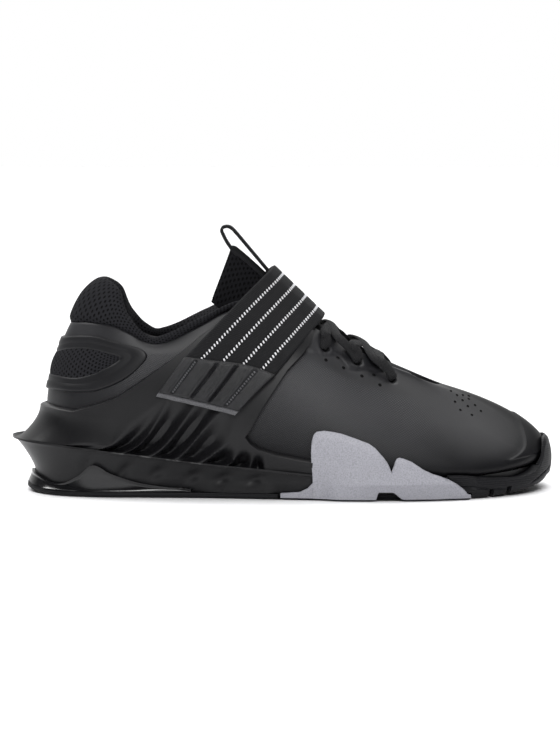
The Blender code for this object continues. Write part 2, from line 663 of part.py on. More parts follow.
def tongue_at(rows, across):
    """Front face of the tongue: rows of the smoothed table against shares of its half width."""
    reach = np.abs(across) ** 2.0
    x = place_x(rows[:, 0:1] + (rows[:, 2:3] - rows[:, 0:1]) * reach)
    y = rows[:, 3:4] * across * HALF_BALL
    z = (rows[:, 1:2] + (rows[:, 4:5] - rows[:, 1:2]) * reach) * COLLAR_HEIGHT
    return np.stack([x, y, z], axis=-1)


def make_tongue(finish):
    rows = smooth(TONGUE, 14)
    across = np.linspace(-1, 1, 7)
    front = tongue_at(rows, across)
    thick = TONGUE_WALL * (1 - 0.55 * np.abs(across) ** 3)[None, :, None] * np.ones((len(rows), 1, 1))
    thick[0] *= 0.4
    thick[1] *= 0.8
    sheet("tongue", front, front - faces_out(front) * thick, finish)


def ribbon(name, path, width, wall, finish):
    """A strip of webbing along a path in the middle plane, its width across the shoe."""
    path = smooth(path, 2 * len(path))
    path = np.stack([place_x(path[:, 0]), path[:, 1] * COLLAR_HEIGHT], axis=-1)
    along = unit(np.gradient(path, axis=0))
    normal = np.stack([-along[:, 1], along[:, 0]], axis=-1) * wall / 2
    across = np.array([-0.5, 0.5]) * width
    faces = []
    for side in (1, -1):
        line = path + normal * side
        grid = np.zeros((len(path), len(across), 3))
        grid[..., 0], grid[..., 2] = line[:, None, 0], line[:, None, 1]
        grid[..., 1] = across
        faces.append(grid)
    sheet(name, faces[0], faces[1], finish)


def strap_rest(share):
    """How far out of the upper the strap lies where it rests on the midsole's wing."""
    return lap(share) + WING_WALL + STRAP_REST + STRAP_FLARE * np.clip(1 - share / 0.94, 0, 1) ** FLARE_FADE


def strap_rows():
    """Rear and front edge of the strap's inner face, from its lateral end over to its medial end."""
    def on_wing(sign, row):
        at, share = np.array([row[0], row[2]]) * sign, np.array([row[1], row[3]])
        spots = np.linspace(0, 1, 5)
        at, share = at[0] + (at[1] - at[0]) * spots, share[0] + (share[1] - share[0]) * spots
        return on_upper(at, share, strap_rest(share))

    def over(sign, row):
        ends = np.array([row[0:3], row[3:6]], float)
        ends = np.stack([place_x(ends[:, 0]), -sign * HALF_BALL * ends[:, 1], COLLAR_HEIGHT * ends[:, 2]], axis=-1)
        spots = np.linspace(0, 1, 5)[:, None]
        return ends[0] + (ends[1] - ends[0]) * spots

    lateral = [on_wing(1, row) for row in STRAP_ON] + [over(1, row) for row in STRAP_OVER]
    medial = [on_wing(-1, row) for row in STRAP_END + STRAP_ON] + [over(-1, row) for row in STRAP_OVER]
    return np.array(lateral + medial[:-1][::-1])


def make_strap(finish):
    inner = smooth(strap_rows(), 23)
    sheet("strap", inner - faces_out(inner) * STRAP_WALL, inner, finish)


def on_tab(reach, along, out):
    """Point by the strap's lower end: 0 to 1 from its top edge down, and from its rear to its front."""
    (top_rear, top_front), (low_rear, low_front) = TAB
    top = np.array(top_rear) + (np.array(top_front) - np.array(top_rear)) * along[..., None]
    low = np.array(low_rear) + (np.array(low_front) - np.array(low_rear)) * along[..., None]
    spot = top + (low - top) * reach[..., None]
    return on_upper(spot[..., 0], spot[..., 1], out)


def make_tab(finish, hook_finish):
    (top_rear, top_front), (low_rear, low_front) = TAB

    def base(reach, along):
        top = top_rear[1] + (top_front[1] - top_rear[1]) * along
        low = low_rear[1] + (low_front[1] - low_rear[1]) * along
        return strap_rest(top + (low - top) * reach)

    reach, along = np.meshgrid(np.linspace(0.03, 1, 5), np.linspace(0, 1, 9), indexing="ij")
    edge = np.minimum(np.minimum(along, 1 - along) * 12, np.minimum(reach - 0.03, 1 - reach) * 8)
    puff = STRAP_WALL + TAB_WALL * np.clip(0.35 + edge, 0, 1)
    under = base(reach, along)
    sheet("strap_tab", on_tab(reach, along, under + puff), on_tab(reach, along, under), finish)
    reach, along = np.meshgrid(np.array([1.02, 1.09, 1.12]), np.linspace(0.0, 1.0, 9), indexing="ij")
    under = base(reach, along)
    over = under + STRAP_WALL
    over[-1] -= 0.0008
    sheet("strap_hook", on_tab(reach, along, over), on_tab(reach, along, under), hook_finish)


def strand(points, ups):
    """Sections of one lace strand, flat and wide, drawn thin where it goes down its holes."""
    both = smooth(np.concatenate([points, ups], axis=1), 11)
    points, ups = both[:, :3], both[:, 3:]
    along = unit(np.gradient(points, axis=0))
    ups = unit(ups - along * (ups * along).sum(-1, keepdims=True))
    side = np.cross(along, ups)
    sections = []
    for index, point in enumerate(points):
        full = np.clip((min(index, len(points) - 1 - index) - 1) / 2.0, 0, 1)
        width = LACE_END + (LACE_WIDTH - LACE_END) * full
        wall = LACE_END + (LACE_WALL - LACE_END) * full
        corners = np.array([(1, 1), (-1, 1), (-1, -1), (1, -1)]) * (width / 2, wall / 2)
        sections.append(point + np.outer(corners[:, 0], side[index]) + np.outer(corners[:, 1], ups[index]))
    return sections


def tongue_height(x):
    rows = np.array(TONGUE)
    return np.interp(x, place_x(rows[:, 0]), rows[:, 1] * COLLAR_HEIGHT)


def make_lace(finish):
    """Flat crossings and the front bar, joined into one solid."""
    pieces = []
    for run, (start, end) in enumerate(LACE_RUNS):
        points, ups = [], []
        for (eyelet, sign), order in ((start, 1), (end, -1)):
            at, share = EYELETS[eyelet]
            other = EYELETS[(end if order > 0 else start)[0]][0]
            turn = np.clip(other - at, -1, 1)
            at += LACE_SHIFT * (run % 3 - 1)
            at, turn = (at, turn) if sign < 0 else (ROUND - at, -turn)
            deep = LACE_SINK + 0.00013 * run
            legs = [on_upper(at + turn * aside, share + up, out) for aside, up, out in LACE_LEG]
            legs.insert(0, on_upper(at, share, -deep))
            lean = [upper_normal(at + turn * aside, share + up) for aside, up, out in LACE_LEG]
            lean.insert(0, unit(upper_at(at, share - 0.05) - upper_at(at, share)))
            points += legs[::order]
            ups += lean[::order]
        middle = (points[3] + points[4]) / 2
        middle[2] = tongue_height(middle[0]) + LACE_RISE
        points.insert(4, middle)
        ups.insert(4, unit(np.array((0.45, 0.0, 0.9))))
        sections = strand(np.array(points), np.array(ups))
        pieces.append(tube(f"lace_{len(pieces)}", sections, finish))
    lace = pieces[0]
    lace.name = "lace"
    for other in pieces[1:]:
        join(lace, other, "UNION")


def join(base, other, operation):
    """A Boolean on `base`; `other` is kept only as its operand."""
    change = base.modifiers.new(other.name, "BOOLEAN")
    change.operation = operation
    change.solver = "EXACT"
    change.object = other
    other.hide_render = True
    other.display_type = "WIRE"


def cut_eyelets(upper, finish):
    sides = 8
    turns = np.arange(sides) * math.tau / sides
    points, faces = [], []
    for at, share in EYELETS.values():
        for station in (at, ROUND - at):
            centre, normal = upper_at(station, share), upper_normal(station, share)
            across = unit(np.cross(normal, (0.0, 0.0, 1.0)))
            up = np.cross(normal, across)
            first = len(points)
            for out in (-0.005, 0.005):
                for turn in turns:
                    round_it = across * math.cos(turn) + up * math.sin(turn)
                    points.append(centre + normal * out + round_it * EYELET_RADIUS)
            for spot in range(sides):
                following = (spot + 1) % sides
                after = first + sides
                faces.append((first + spot, first + following, after + following, after + spot))
            faces += [tuple(first + k for k in range(sides)), tuple(first + sides + k for k in range(sides))]
    holes = solid("eyelet_holes", points, faces, finish)
    join(upper, holes, "DIFFERENCE")


def clear_scene():
    for made in list(bpy.data.objects):
        bpy.data.objects.remove(made)


def main():
    clear_scene()
    shell = material("shell", (0.035, 0.035, 0.038), 0.55)
    mesh = material("knit", (0.012, 0.012, 0.013), 0.9)
    foam = material("foam", (0.018, 0.018, 0.020), 0.45)
    gloss = material("plate", (0.02, 0.02, 0.022), 0.18)
    rubber = material("rubber", (0.012, 0.012, 0.013), 0.6)
    grey = material("grey_rubber", (0.42, 0.42, 0.45), 0.5)
    leather = material("tab_leather", (0.04, 0.04, 0.043), 0.5)
    webbing = material("webbing", (0.02, 0.02, 0.021), 0.85)
    cord = material("cord", (0.015, 0.015, 0.016), 0.85)
    hook = material("hook_plastic", (0.5, 0.5, 0.52), 0.45)
    bed = material("insole_cloth", (0.03, 0.03, 0.032), 0.9)
    upper = make_upper(shell)
    cut_eyelets(upper, shell)
    make_collar(mesh)
    make_midsole(foam)
    make_heel_plate(gloss)
    make_wraps(grey)
    make_outsole(rubber)
    make_insole(bed)
    make_heel_counter(shell)
    make_tongue(mesh)
    ribbon("pull_loop", PULL_LOOP, LOOP_WIDTH, LOOP_WALL, webbing)
    make_strap(webbing)
    make_tab(leather, hook)
    make_lace(cord)


main()
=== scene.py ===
"""Looks of a weightlifting shoe, right foot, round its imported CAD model. Metres, in the CAD frame."""

import math

import bpy
import numpy as np
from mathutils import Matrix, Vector


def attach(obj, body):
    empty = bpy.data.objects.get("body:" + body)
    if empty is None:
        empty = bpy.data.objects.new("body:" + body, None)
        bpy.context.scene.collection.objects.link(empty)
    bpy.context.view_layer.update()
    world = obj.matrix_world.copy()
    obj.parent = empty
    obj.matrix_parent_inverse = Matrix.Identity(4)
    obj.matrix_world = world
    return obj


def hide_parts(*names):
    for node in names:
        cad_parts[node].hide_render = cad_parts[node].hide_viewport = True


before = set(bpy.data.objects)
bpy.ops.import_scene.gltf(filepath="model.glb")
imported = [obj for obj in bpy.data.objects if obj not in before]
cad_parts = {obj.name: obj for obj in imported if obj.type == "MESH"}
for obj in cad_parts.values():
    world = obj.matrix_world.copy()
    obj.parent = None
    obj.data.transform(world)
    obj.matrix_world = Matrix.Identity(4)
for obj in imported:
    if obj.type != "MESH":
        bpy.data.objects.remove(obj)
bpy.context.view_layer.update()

# Driving sizes.
LAST_LENGTH = 0.300  # what the tables' "along" runs over
HALF_BALL = 0.050  # what "lateral" and "medial" are shares of
COLLAR_HEIGHT = 0.125  # what "rise" is a share of
MIDDLE_SHARE = 0.4965  # "along" of the origin

WALL = 0.0024  # upper's wall
GAP = 0.0003  # between two pieces that touch
OUTSOLE = 0.0030
WING_WALL = 0.0019  # midsole where it laps up the upper
RIM_WALL = 0.0036  # midsole's rim at the heel
LAP = 0.0012  # between the upper and what is moulded round it
FLUTE_DEPTH = 0.0062
INSOLE = 0.0040
STRAP_WALL = 0.0024
TAB_WALL = 0.0016
LACE_WIDTH = 0.0066
LACE_WALL = 0.0028
PLATE_FOOT = 0.0040  # heel plate's thickness at the floor
PLATE_EDGE = 0.0012
WRAP_WALL = 0.0024
WRAP_REAR = 0.0021  # its strip behind the forefoot, beyond the midsole
TONGUE_WALL = 0.0055
LOOP_WIDTH = 0.0100
LOOP_WALL = 0.0013

HALF = 12  # stations 0 to 12 run from the heel round the lateral side to the toe
ROUND = 24  # and 12 to 24 go back round the medial side

# Each ring has one row for each station: along, lateral, medial, rise.
SOLE = [
    (0.004, 0.00, 0.00, 0.020), (0.020, 0.36, 0.36, 0.008), (0.067, 0.62, 0.62, 0.0),
    (0.147, 0.75, 0.73, 0.0), (0.240, 0.78, 0.72, 0.0), (0.340, 0.81, 0.68, 0.0),
    (0.440, 0.88, 0.68, 0.0), (0.547, 0.97, 0.76, 0.0), (0.660, 1.02, 0.92, 0.0),
    (0.780, 0.96, 1.04, 0.0), (0.887, 0.76, 1.00, 0.006), (0.972, 0.38, 0.70, 0.030),
    (1.003, -0.16, 0.16, 0.052),
]
WAIST = [
    (0.017, 0.00, 0.00, 0.093), (0.032, 0.32, 0.32, 0.093), (0.077, 0.57, 0.57, 0.093),
    (0.153, 0.70, 0.68, 0.092), (0.240, 0.74, 0.67, 0.088), (0.340, 0.78, 0.64, 0.080),
    (0.440, 0.86, 0.65, 0.076), (0.547, 0.95, 0.74, 0.072), (0.660, 1.00, 0.90, 0.072),
    (0.780, 0.95, 1.03, 0.072), (0.887, 0.76, 0.98, 0.080), (0.977, 0.38, 0.68, 0.104),
    (1.015, -0.16, 0.16, 0.122),
]
CREST = [
    (-0.024, 0.00, 0.00, 0.252), (0.000, 0.38, 0.38, 0.248), (0.063, 0.67, 0.66, 0.240),
    (0.157, 0.81, 0.77, 0.215), (0.240, 0.84, 0.75, 0.193), (0.333, 0.87, 0.73, 0.165),
    (0.440, 0.92, 0.72, 0.142), (0.547, 0.99, 0.79, 0.119), (0.660, 1.03, 0.93, 0.104),
    (0.780, 0.97, 1.05, 0.104), (0.887, 0.78, 1.00, 0.116), (0.977, 0.39, 0.69, 0.150),
    (1.013, -0.16, 0.16, 0.184),
]
FEATHER = [
    (0.067, 0.00, 0.00, 0.240), (0.080, 0.28, 0.28, 0.240), (0.117, 0.50, 0.50, 0.236),
    (0.187, 0.62, 0.61, 0.224), (0.267, 0.64, 0.58, 0.208), (0.353, 0.66, 0.56, 0.184),
    (0.447, 0.74, 0.58, 0.148), (0.553, 0.85, 0.68, 0.112), (0.660, 0.91, 0.83, 0.096),
    (0.773, 0.86, 0.93, 0.096), (0.873, 0.69, 0.89, 0.104), (0.953, 0.32, 0.60, 0.120),
    (0.985, -0.16, 0.16, 0.140),
]
GIRTH = [
    (0.040, 0.00, 0.00, 0.400), (0.060, 0.33, 0.33, 0.400), (0.103, 0.60, 0.59, 0.392),
    (0.180, 0.71, 0.69, 0.376), (0.267, 0.74, 0.68, 0.360), (0.353, 0.79, 0.70, 0.344),
    (0.447, 0.86, 0.73, 0.312), (0.553, 0.95, 0.82, 0.264), (0.660, 0.99, 0.94, 0.224),
    (0.773, 0.92, 1.01, 0.192), (0.873, 0.73, 0.95, 0.176), (0.960, 0.35, 0.66, 0.192),
    (0.997, -0.16, 0.16, 0.208),
]
SHOULDER = [
    (0.068, 0.00, 0.00, 0.672), (0.083, 0.25, 0.25, 0.668), (0.123, 0.49, 0.48, 0.650),
    (0.183, 0.64, 0.62, 0.610), (0.260, 0.70, 0.65, 0.595), (0.347, 0.72, 0.67, 0.600),
    (0.443, 0.72, 0.67, 0.608), (0.553, 0.73, 0.68, 0.528), (0.653, 0.72, 0.73, 0.432),
    (0.753, 0.60, 0.73, 0.372), (0.847, 0.38, 0.68, 0.336), (0.917, 0.12, 0.44, 0.330),
    (0.940, -0.12, 0.12, 0.340),
]
TOP_LINE = [
    (0.137, 0.00, 0.00, 0.960), (0.150, 0.18, 0.18, 0.956), (0.177, 0.34, 0.34, 0.912),
    (0.203, 0.46, 0.46, 0.802), (0.248, 0.54, 0.54, 0.690), (0.343, 0.54, 0.54, 0.806),
    (0.420, 0.44, 0.44, 0.876), (0.507, 0.34, 0.34, 0.808), (0.587, 0.30, 0.30, 0.704),
    (0.667, 0.27, 0.29, 0.608), (0.740, 0.24, 0.28, 0.532), (0.780, 0.14, 0.22, 0.492),
    (0.795, -0.04, 0.04, 0.484),
]
# The midsole's rim on the upper: station at the crest, then station and share up the upper at the rim.
RIM = [
    (0.0, 0.00, 0.322), (1.0, 1.00, 0.320), (2.0, 2.00, 0.320), (2.5, 2.48, 0.370), (3.0, 3.02, 0.440),
    (3.25, 3.70, 0.575), (3.5, 4.35, 0.710), (3.75, 4.95, 0.840), (4.0, 5.50, 0.925), (4.25, 6.20, 0.940),
    (4.5, 6.90, 0.950), (4.75, 7.28, 0.930), (5.0, 6.52, 0.667), (5.2, 6.02, 0.428), (5.35, 5.86, 0.335),
    (5.5, 5.76, 0.280), (5.75, 5.87, 0.240), (6.0, 6.04, 0.208), (6.3, 6.32, 0.192), (6.6, 6.62, 0.186),
    (7.0, 7.00, 0.180), (12.0, 12.0, 0.100),
]
RIM_LEAN = 2.2
FLARE_FADE = 3.2
# Where the collar pad meets the upper: station and share up the upper.
COLLAR_SEAM = [
    (0.0, 0.770), (1.0, 0.785), (2.0, 0.815), (2.7, 0.866), (3.7, 0.905), (4.4, 0.903), (4.85, 0.925),
    (5.3, 0.955), (6.0, 0.960), (7.0, 0.970),
]
COLLAR_END = 6.5
SEAM_GAP = 0.006  # between the upper's top edge and the collar, as a share up the upper
# Depth of the collar pad inside the upper, as a share of its full depth.
PAD_DEPTH = [(0.0, 1.0), (5.0, 1.0), (6.0, 0.62), (6.5, 0.45)]
# The heel plate's wavy top edge: station and height share.
PLATE_TOP = [
    (0.0, 0.093), (1.0, 0.078), (1.6, 0.058), (2.1, 0.060), (2.45, 0.095), (2.8, 0.146), (3.2, 0.108),
    (3.75, 0.070), (4.2, 0.052), (4.8, 0.040),
]

# The heel counter's ring, from the top at the heel round to the bottom: outer edge, then window edge.
COUNTER = [
    (0.00, 0.700, 0.00, 0.620), (0.65, 0.704, 0.45, 0.625), (1.48, 0.731, 1.05, 0.645),
    (2.53, 0.771, 1.80, 0.672), (3.20, 0.795, 2.45, 0.690), (3.60, 0.795, 2.90, 0.700),
    (3.74, 0.750, 3.03, 0.690), (3.66, 0.690, 2.95, 0.662), (3.28, 0.582, 2.70, 0.617),
    (2.75, 0.498, 2.28, 0.556), (2.22, 0.453, 1.75, 0.520), (1.03, 0.428, 0.70, 0.512),
    (0.00, 0.422, 0.00, 0.510),
]
# The tongue, top to toe: along and rise of its middle, then along, side and rise of its edges.
TONGUE = [
    (0.3965, 1.1240, 0.3565, 0.300, 0.8720), (0.4282, 1.0600, 0.3815, 0.310, 0.8240),
    (0.4605, 0.9880, 0.4165, 0.330, 0.7800), (0.4965, 0.9040, 0.4598, 0.360, 0.7440),
    (0.5232, 0.8400, 0.4965, 0.390, 0.7040), (0.5565, 0.7680, 0.5398, 0.410, 0.6640),
    (0.5965, 0.7000, 0.5865, 0.390, 0.6200), (0.6465, 0.6320, 0.6432, 0.360, 0.5640),
    (0.6965, 0.5640, 0.6965, 0.320, 0.5080), (0.7432, 0.5000, 0.7432, 0.280, 0.4520),
    (0.7765, 0.4520, 0.7765, 0.240, 0.4160), (0.8098, 0.4120, 0.8098, 0.180, 0.3880),
]
# The strap's rows on the wing: station and share up the upper at its rear edge and at its front edge.
STRAP_ON = [(4.60, 0.712, 6.30, 0.617), (5.05, 0.835, 6.66, 0.735)]
STRAP_END = [(4.25, 0.600, 6.00, 0.500)]
# Its rows clear of the wing: along, side and rise at its rear edge, then at its front edge.
STRAP_OVER = [
    (0.3915, 0.680, 0.8320, 0.5248, 0.750, 0.6800), (0.4282, 0.516, 0.9200, 0.5465, 0.556, 0.7344),
    (0.4582, 0.270, 0.9920, 0.5632, 0.290, 0.7800), (0.4705, 0.000, 1.0200, 0.5688, 0.000, 0.7936),
]
STRAP_REST = 0.0006
STRAP_FLARE = 0.0115
# The tab's corners, station and share: top edge rear and front, then lower edge rear and front.
TAB = [((4.60, 0.712), (6.30, 0.617)), ((3.98, 0.498), (5.65, 0.423))]
# Eyelets on either side, station and share up the upper.
EYELETS = {"upper": (7.45, 0.886), "lower": (8.20, 0.906), "front": (8.88, 0.876)}
LACE_RISE = 0.0042
LACE_END = 0.0018  # width and wall in the holes
# A strand's way out of its hole: stations towards the next eyelet, share above this one, and height.
LACE_LEG = [(0.0, 0.006, 0.0018), (0.10, 0.040, 0.0036), (0.26, 0.085, 0.0042)]
LACE_SINK = 0.0010
LACE_SHIFT = 0.016  # stations between the runs that share an eyelet
# Each lace run: eyelet and side (-1 lateral) at both ends.
LACE_RUNS = [
    (("front", -1), ("front", 1)), (("front", -1), ("lower", 1)), (("lower", -1), ("front", 1)),
    (("lower", -1), ("upper", 1)), (("upper", -1), ("lower", 1)),
]


def column(rows, key, values):
    """Piecewise linear reading of a table: rows' first entries against entry `key`."""
    return np.interp(values, [r[0] for r in rows], [r[key] for r in rows])


def place_x(along):
    return (np.asarray(along, float) - MIDDLE_SHARE) * LAST_LENGTH


def ring(rows, station):
    """Point of a closed ring at a station, by a periodic Catmull-Rom curve."""
    points = []
    for index in range(ROUND):
        along, lateral, medial, rise = rows[index if index <= HALF else ROUND - index]
        side = -lateral if index <= HALF else medial
        points.append((place_x(along), side * HALF_BALL, rise * COLLAR_HEIGHT))
    points = np.array(points)
    station = np.asarray(station, float) % ROUND
    base = np.floor(station).astype(int)
    part = (station - base)[..., None]
    before, here, after, beyond = (points[(base + k) % ROUND] for k in (-1, 0, 1, 2))
    return 0.5 * (
        2 * here
        + (after - before) * part
        + (2 * before - 5 * here + 4 * after - beyond) * part**2
        + (3 * here - before - 3 * after + beyond) * part**3
    )


def upper_at(station, share):
    """Point of the upper's outer face: a cubic through feather, girth, shoulder and top line."""
    share = np.asarray(share, float)[..., None]
    knots = (0.0, 1 / 3, 2 / 3, 1.0)
    total = 0
    for index, rows in enumerate((FEATHER, GIRTH, SHOULDER, TOP_LINE)):
        weight = 1.0
        for other in range(4):
            if other != index:
                weight = weight * (share - knots[other]) / (knots[index] - knots[other])
        total = total + weight * ring(rows, station)
    return total


def unit(vectors):
    return vectors / np.linalg.norm(vectors, axis=-1, keepdims=True)


def upper_normal(station, share):
    """Outward normal of the upper's outer face."""
    step = 0.01
    station, share = np.asarray(station, float), np.asarray(share, float)
    around = upper_at(station + step, share) - upper_at(station - step, share)
    up = upper_at(station, share + step) - upper_at(station, share - step)
    return unit(np.cross(around, up))


def on_upper(station, share, out):
    """Point at a distance outside the upper's outer face."""
    return upper_at(station, share) + upper_normal(station, share) * np.asarray(out, float)[..., None]


def plan_normal(rows, station):
    """Horizontal outward normal of a ring."""
    step = 0.05
    around = ring(rows, np.asarray(station) + step) - ring(rows, np.asarray(station) - step)
    return unit(np.stack([around[..., 1], -around[..., 0], np.zeros_like(around[..., 0])], axis=-1))


def folded(station):
    """A station on either side as the lateral station that its table row has."""
    station = np.asarray(station, float) % ROUND
    return np.minimum(station, ROUND - station)


def unfolded(station, lateral_station):
    """A lateral station put back on the side that `station` is on."""
    on_lateral = (np.asarray(station, float) % ROUND) <= HALF
    return np.where(on_lateral, lateral_station, ROUND - lateral_station)


def collar_seam(station):
    """Share up the upper of its own top edge: the collar seam, or the throat's edge."""
    lateral = folded(station)
    seam = column(COLLAR_SEAM, 1, lateral)
    return np.where(lateral <= COLLAR_END + 0.2, seam, 1.0)


def rear_cover(station):
    """1 where the midsole has its side wall, 0 in the forefoot, where the wraps stand."""
    return np.where(folded(station) <= 7.0, 1.0, 0.0)


def core_foot(station, height):
    """Side of the plain forefoot core under the upper, at a height."""
    edge = ring(FEATHER, station) + plan_normal(FEATHER, station) * LAP
    edge[..., 2] = height
    return edge


def lower_wall(station, part):
    """The midsole's side below the crest: 0 on the outsole, 1 on the crest."""
    station = np.asarray(station, float)
    inset = (PLATE_FOOT + GAP) * plate_cover(station)[..., None]
    foot = ring(SOLE, station) - plan_normal(SOLE, station) * inset
    foot[..., 2] += OUTSOLE + GAP
    waist, crest = ring(WAIST, station), ring(CREST, station)
    share = np.asarray(part, float)[..., None]
    low = foot + (waist - foot) * np.clip(share / 0.4, 0, 1)
    rise = np.clip((share - 0.4) / 0.6, 0, 1)
    flare = rise**1.35
    high = np.concatenate([waist[..., :2] + (crest - waist)[..., :2] * flare,
                           waist[..., 2:] + (crest - waist)[..., 2:] * rise], axis=-1)
    return np.where(share < 0.4, low, high)


def plate_cover(station):
    """1 round the heel, where the heel plate covers the midsole's foot, fading to 0 at its end."""
    return np.interp(folded(station), (4.6, 5.4, 6.2, 6.4), (1.0, 0.15, 0.15, 0.65))


def rim_path(station, part):
    """Station and share up the upper along a column of the midsole's side, from feather to rim."""
    lateral = folded(station)
    lean = (column(RIM, 1, lateral) - lateral) * part**RIM_LEAN
    return unfolded(station, lateral + lean), column(RIM, 2, lateral) * part


def lap(share):
    """Gap between the upper and the midsole moulded round it."""
    return LAP * (1 + 0.75 * np.clip(share / 0.3, 0, 1))


def plate_part(station, height):
    """Share of the midsole's lower wall at a height above the floor."""
    foot = ring(SOLE, station)[..., 2] + OUTSOLE + GAP
    waist, crest = ring(WAIST, station)[..., 2], ring(CREST, station)[..., 2]
    low = 0.4 * (height - foot) / (waist - foot)
    high = 0.4 + 0.6 * (height - waist) / (crest - waist)
    return np.clip(np.where(height < waist, low, high), 0, 1)


def wall_outer(station, height):
    """Outer face of the forefoot side walls at a height: sole edge, crest, then the upper and a step."""
    station, height = np.asarray(station, float), np.asarray(height, float)
    foot, crest = ring(SOLE, station), ring(CREST, station)
    foot[..., 2] = 0
    low = np.clip(height / crest[..., 2], 0, 1)[..., None]
    side = foot + (crest - foot) * np.sin(low * math.pi / 2)
    high = beside_upper(station, height, LAP + WRAP_WALL)
    blend = np.clip((height - 0.55 * crest[..., 2]) / 0.012, 0, 1)[..., None]
    blend = blend * blend * (3 - 2 * blend)
    made = side * (1 - blend) + high * blend
    made[..., 2] = height
    return made


def share_at(station, height):
    """Share up the upper's rib at which it reaches a height."""
    low, high = np.zeros_like(height), np.ones_like(height)
    for _ in range(24):
        middle = (low + high) / 2
        above = upper_at(station, middle)[..., 2] > height
        high = np.where(above, middle, high)
        low = np.where(above, low, middle)
    return (low + high) / 2


def beside_upper(station, height, out):
    """Point at a height that lies `out` from the upper's outer face."""
    share = share_at(station, height)
    spot, level = upper_at(station, share), upper_normal(station, share)
    level[..., 2] = 0
    size = np.maximum(np.linalg.norm(level, axis=-1, keepdims=True), 0.5)
    spot = spot + level / size**2 * out
    spot[..., 2] = height
    return spot


def wall_inner(station, height):
    """Inner face of the forefoot side walls: clear of the core and of the upper."""
    beside = beside_upper(station, height, 1.5 * LAP)
    core = core_foot(station, height) + plan_normal(FEATHER, station) * LAP
    deeper = ((beside - core) * plan_normal(FEATHER, station)).sum(-1, keepdims=True) < 0
    return np.where(deeper, core, beside)


def smooth(rows, count):
    """Rows of numbers drawn out to `count` rows by a Catmull-Rom curve through them."""
    rows = np.asarray(rows, float)
    ends = np.concatenate([2 * rows[:1] - rows[1:2], rows, 2 * rows[-1:] - rows[-2:-1]])
    spots = np.linspace(0, len(rows) - 1, count)
    base = np.minimum(spots.astype(int), len(rows) - 2)
    part = (spots - base).reshape((-1,) + (1,) * (rows.ndim - 1))
    before, here, after, beyond = (ends[base + k] for k in range(4))
    return 0.5 * (
        2 * here
        + (after - before) * part
        + (2 * before - 5 * here + 4 * after - beyond) * part**2
        + (3 * here - before - 3 * after + beyond) * part**3
    )


def faces_out(grid):
    """Unit normals of a grid of points."""
    along = np.gradient(grid, axis=0)
    across = np.gradient(grid, axis=1)
    return unit(np.cross(along, across))


def tongue_at(rows, across):
    """Front face of the tongue: rows of the smoothed table against shares of its half width."""
    reach = np.abs(across) ** 2.0
    x = place_x(rows[:, 0:1] + (rows[:, 2:3] - rows[:, 0:1]) * reach)
    y = rows[:, 3:4] * across * HALF_BALL
    z = (rows[:, 1:2] + (rows[:, 4:5] - rows[:, 1:2]) * reach) * COLLAR_HEIGHT
    return np.stack([x, y, z], axis=-1)


def strap_rest(share):
    """How far out of the upper the strap lies where it rests on the midsole's wing."""
    return lap(share) + WING_WALL + STRAP_REST + STRAP_FLARE * np.clip(1 - share / 0.94, 0, 1) ** FLARE_FADE


def strap_rows():
    """Rear and front edge of the strap's inner face, from its lateral end over to its medial end."""
    def on_wing(sign, row):
        at, share = np.array([row[0], row[2]]) * sign, np.array([row[1], row[3]])
        spots = np.linspace(0, 1, 5)
        at, share = at[0] + (at[1] - at[0]) * spots, share[0] + (share[1] - share[0]) * spots
        return on_upper(at, share, strap_rest(share))

    def over(sign, row):
        ends = np.array([row[0:3], row[3:6]], float)
        ends = np.stack([place_x(ends[:, 0]), -sign * HALF_BALL * ends[:, 1], COLLAR_HEIGHT * ends[:, 2]],
                        axis=-1)
        spots = np.linspace(0, 1, 5)[:, None]
        return ends[0] + (ends[1] - ends[0]) * spots

    lateral = [on_wing(1, row) for row in STRAP_ON] + [over(1, row) for row in STRAP_OVER]
    medial = [on_wing(-1, row) for row in STRAP_END + STRAP_ON] + [over(-1, row) for row in STRAP_OVER]
    return np.array(lateral + medial[:-1][::-1])


def on_tab(reach, along, out):
    """Point by the strap's lower end: 0 to 1 from its top edge down, and from its rear to its front."""
    (top_rear, top_front), (low_rear, low_front) = TAB
    top = np.array(top_rear) + (np.array(top_front) - np.array(top_rear)) * along[..., None]
    low = np.array(low_rear) + (np.array(low_front) - np.array(low_rear)) * along[..., None]
    spot = top + (low - top) * reach[..., None]
    return on_upper(spot[..., 0], spot[..., 1], out)


def tongue_height(x):
    rows = np.array(TONGUE)
    return np.interp(x, place_x(rows[:, 0]), rows[:, 1] * COLLAR_HEIGHT)


def lengths(grid, axis):
    """Distance along a grid of points from its first row or column."""
    steps = np.linalg.norm(np.diff(grid, axis=axis), axis=-1)
    start = np.zeros_like(np.take(steps, [0], axis=axis))
    return np.cumsum(np.concatenate([start, steps], axis=axis), axis=axis)


def ease(value):
    """A smooth step from 0 to 1."""
    value = np.clip(value, 0, 1)
    return value * value * (3 - 2 * value)


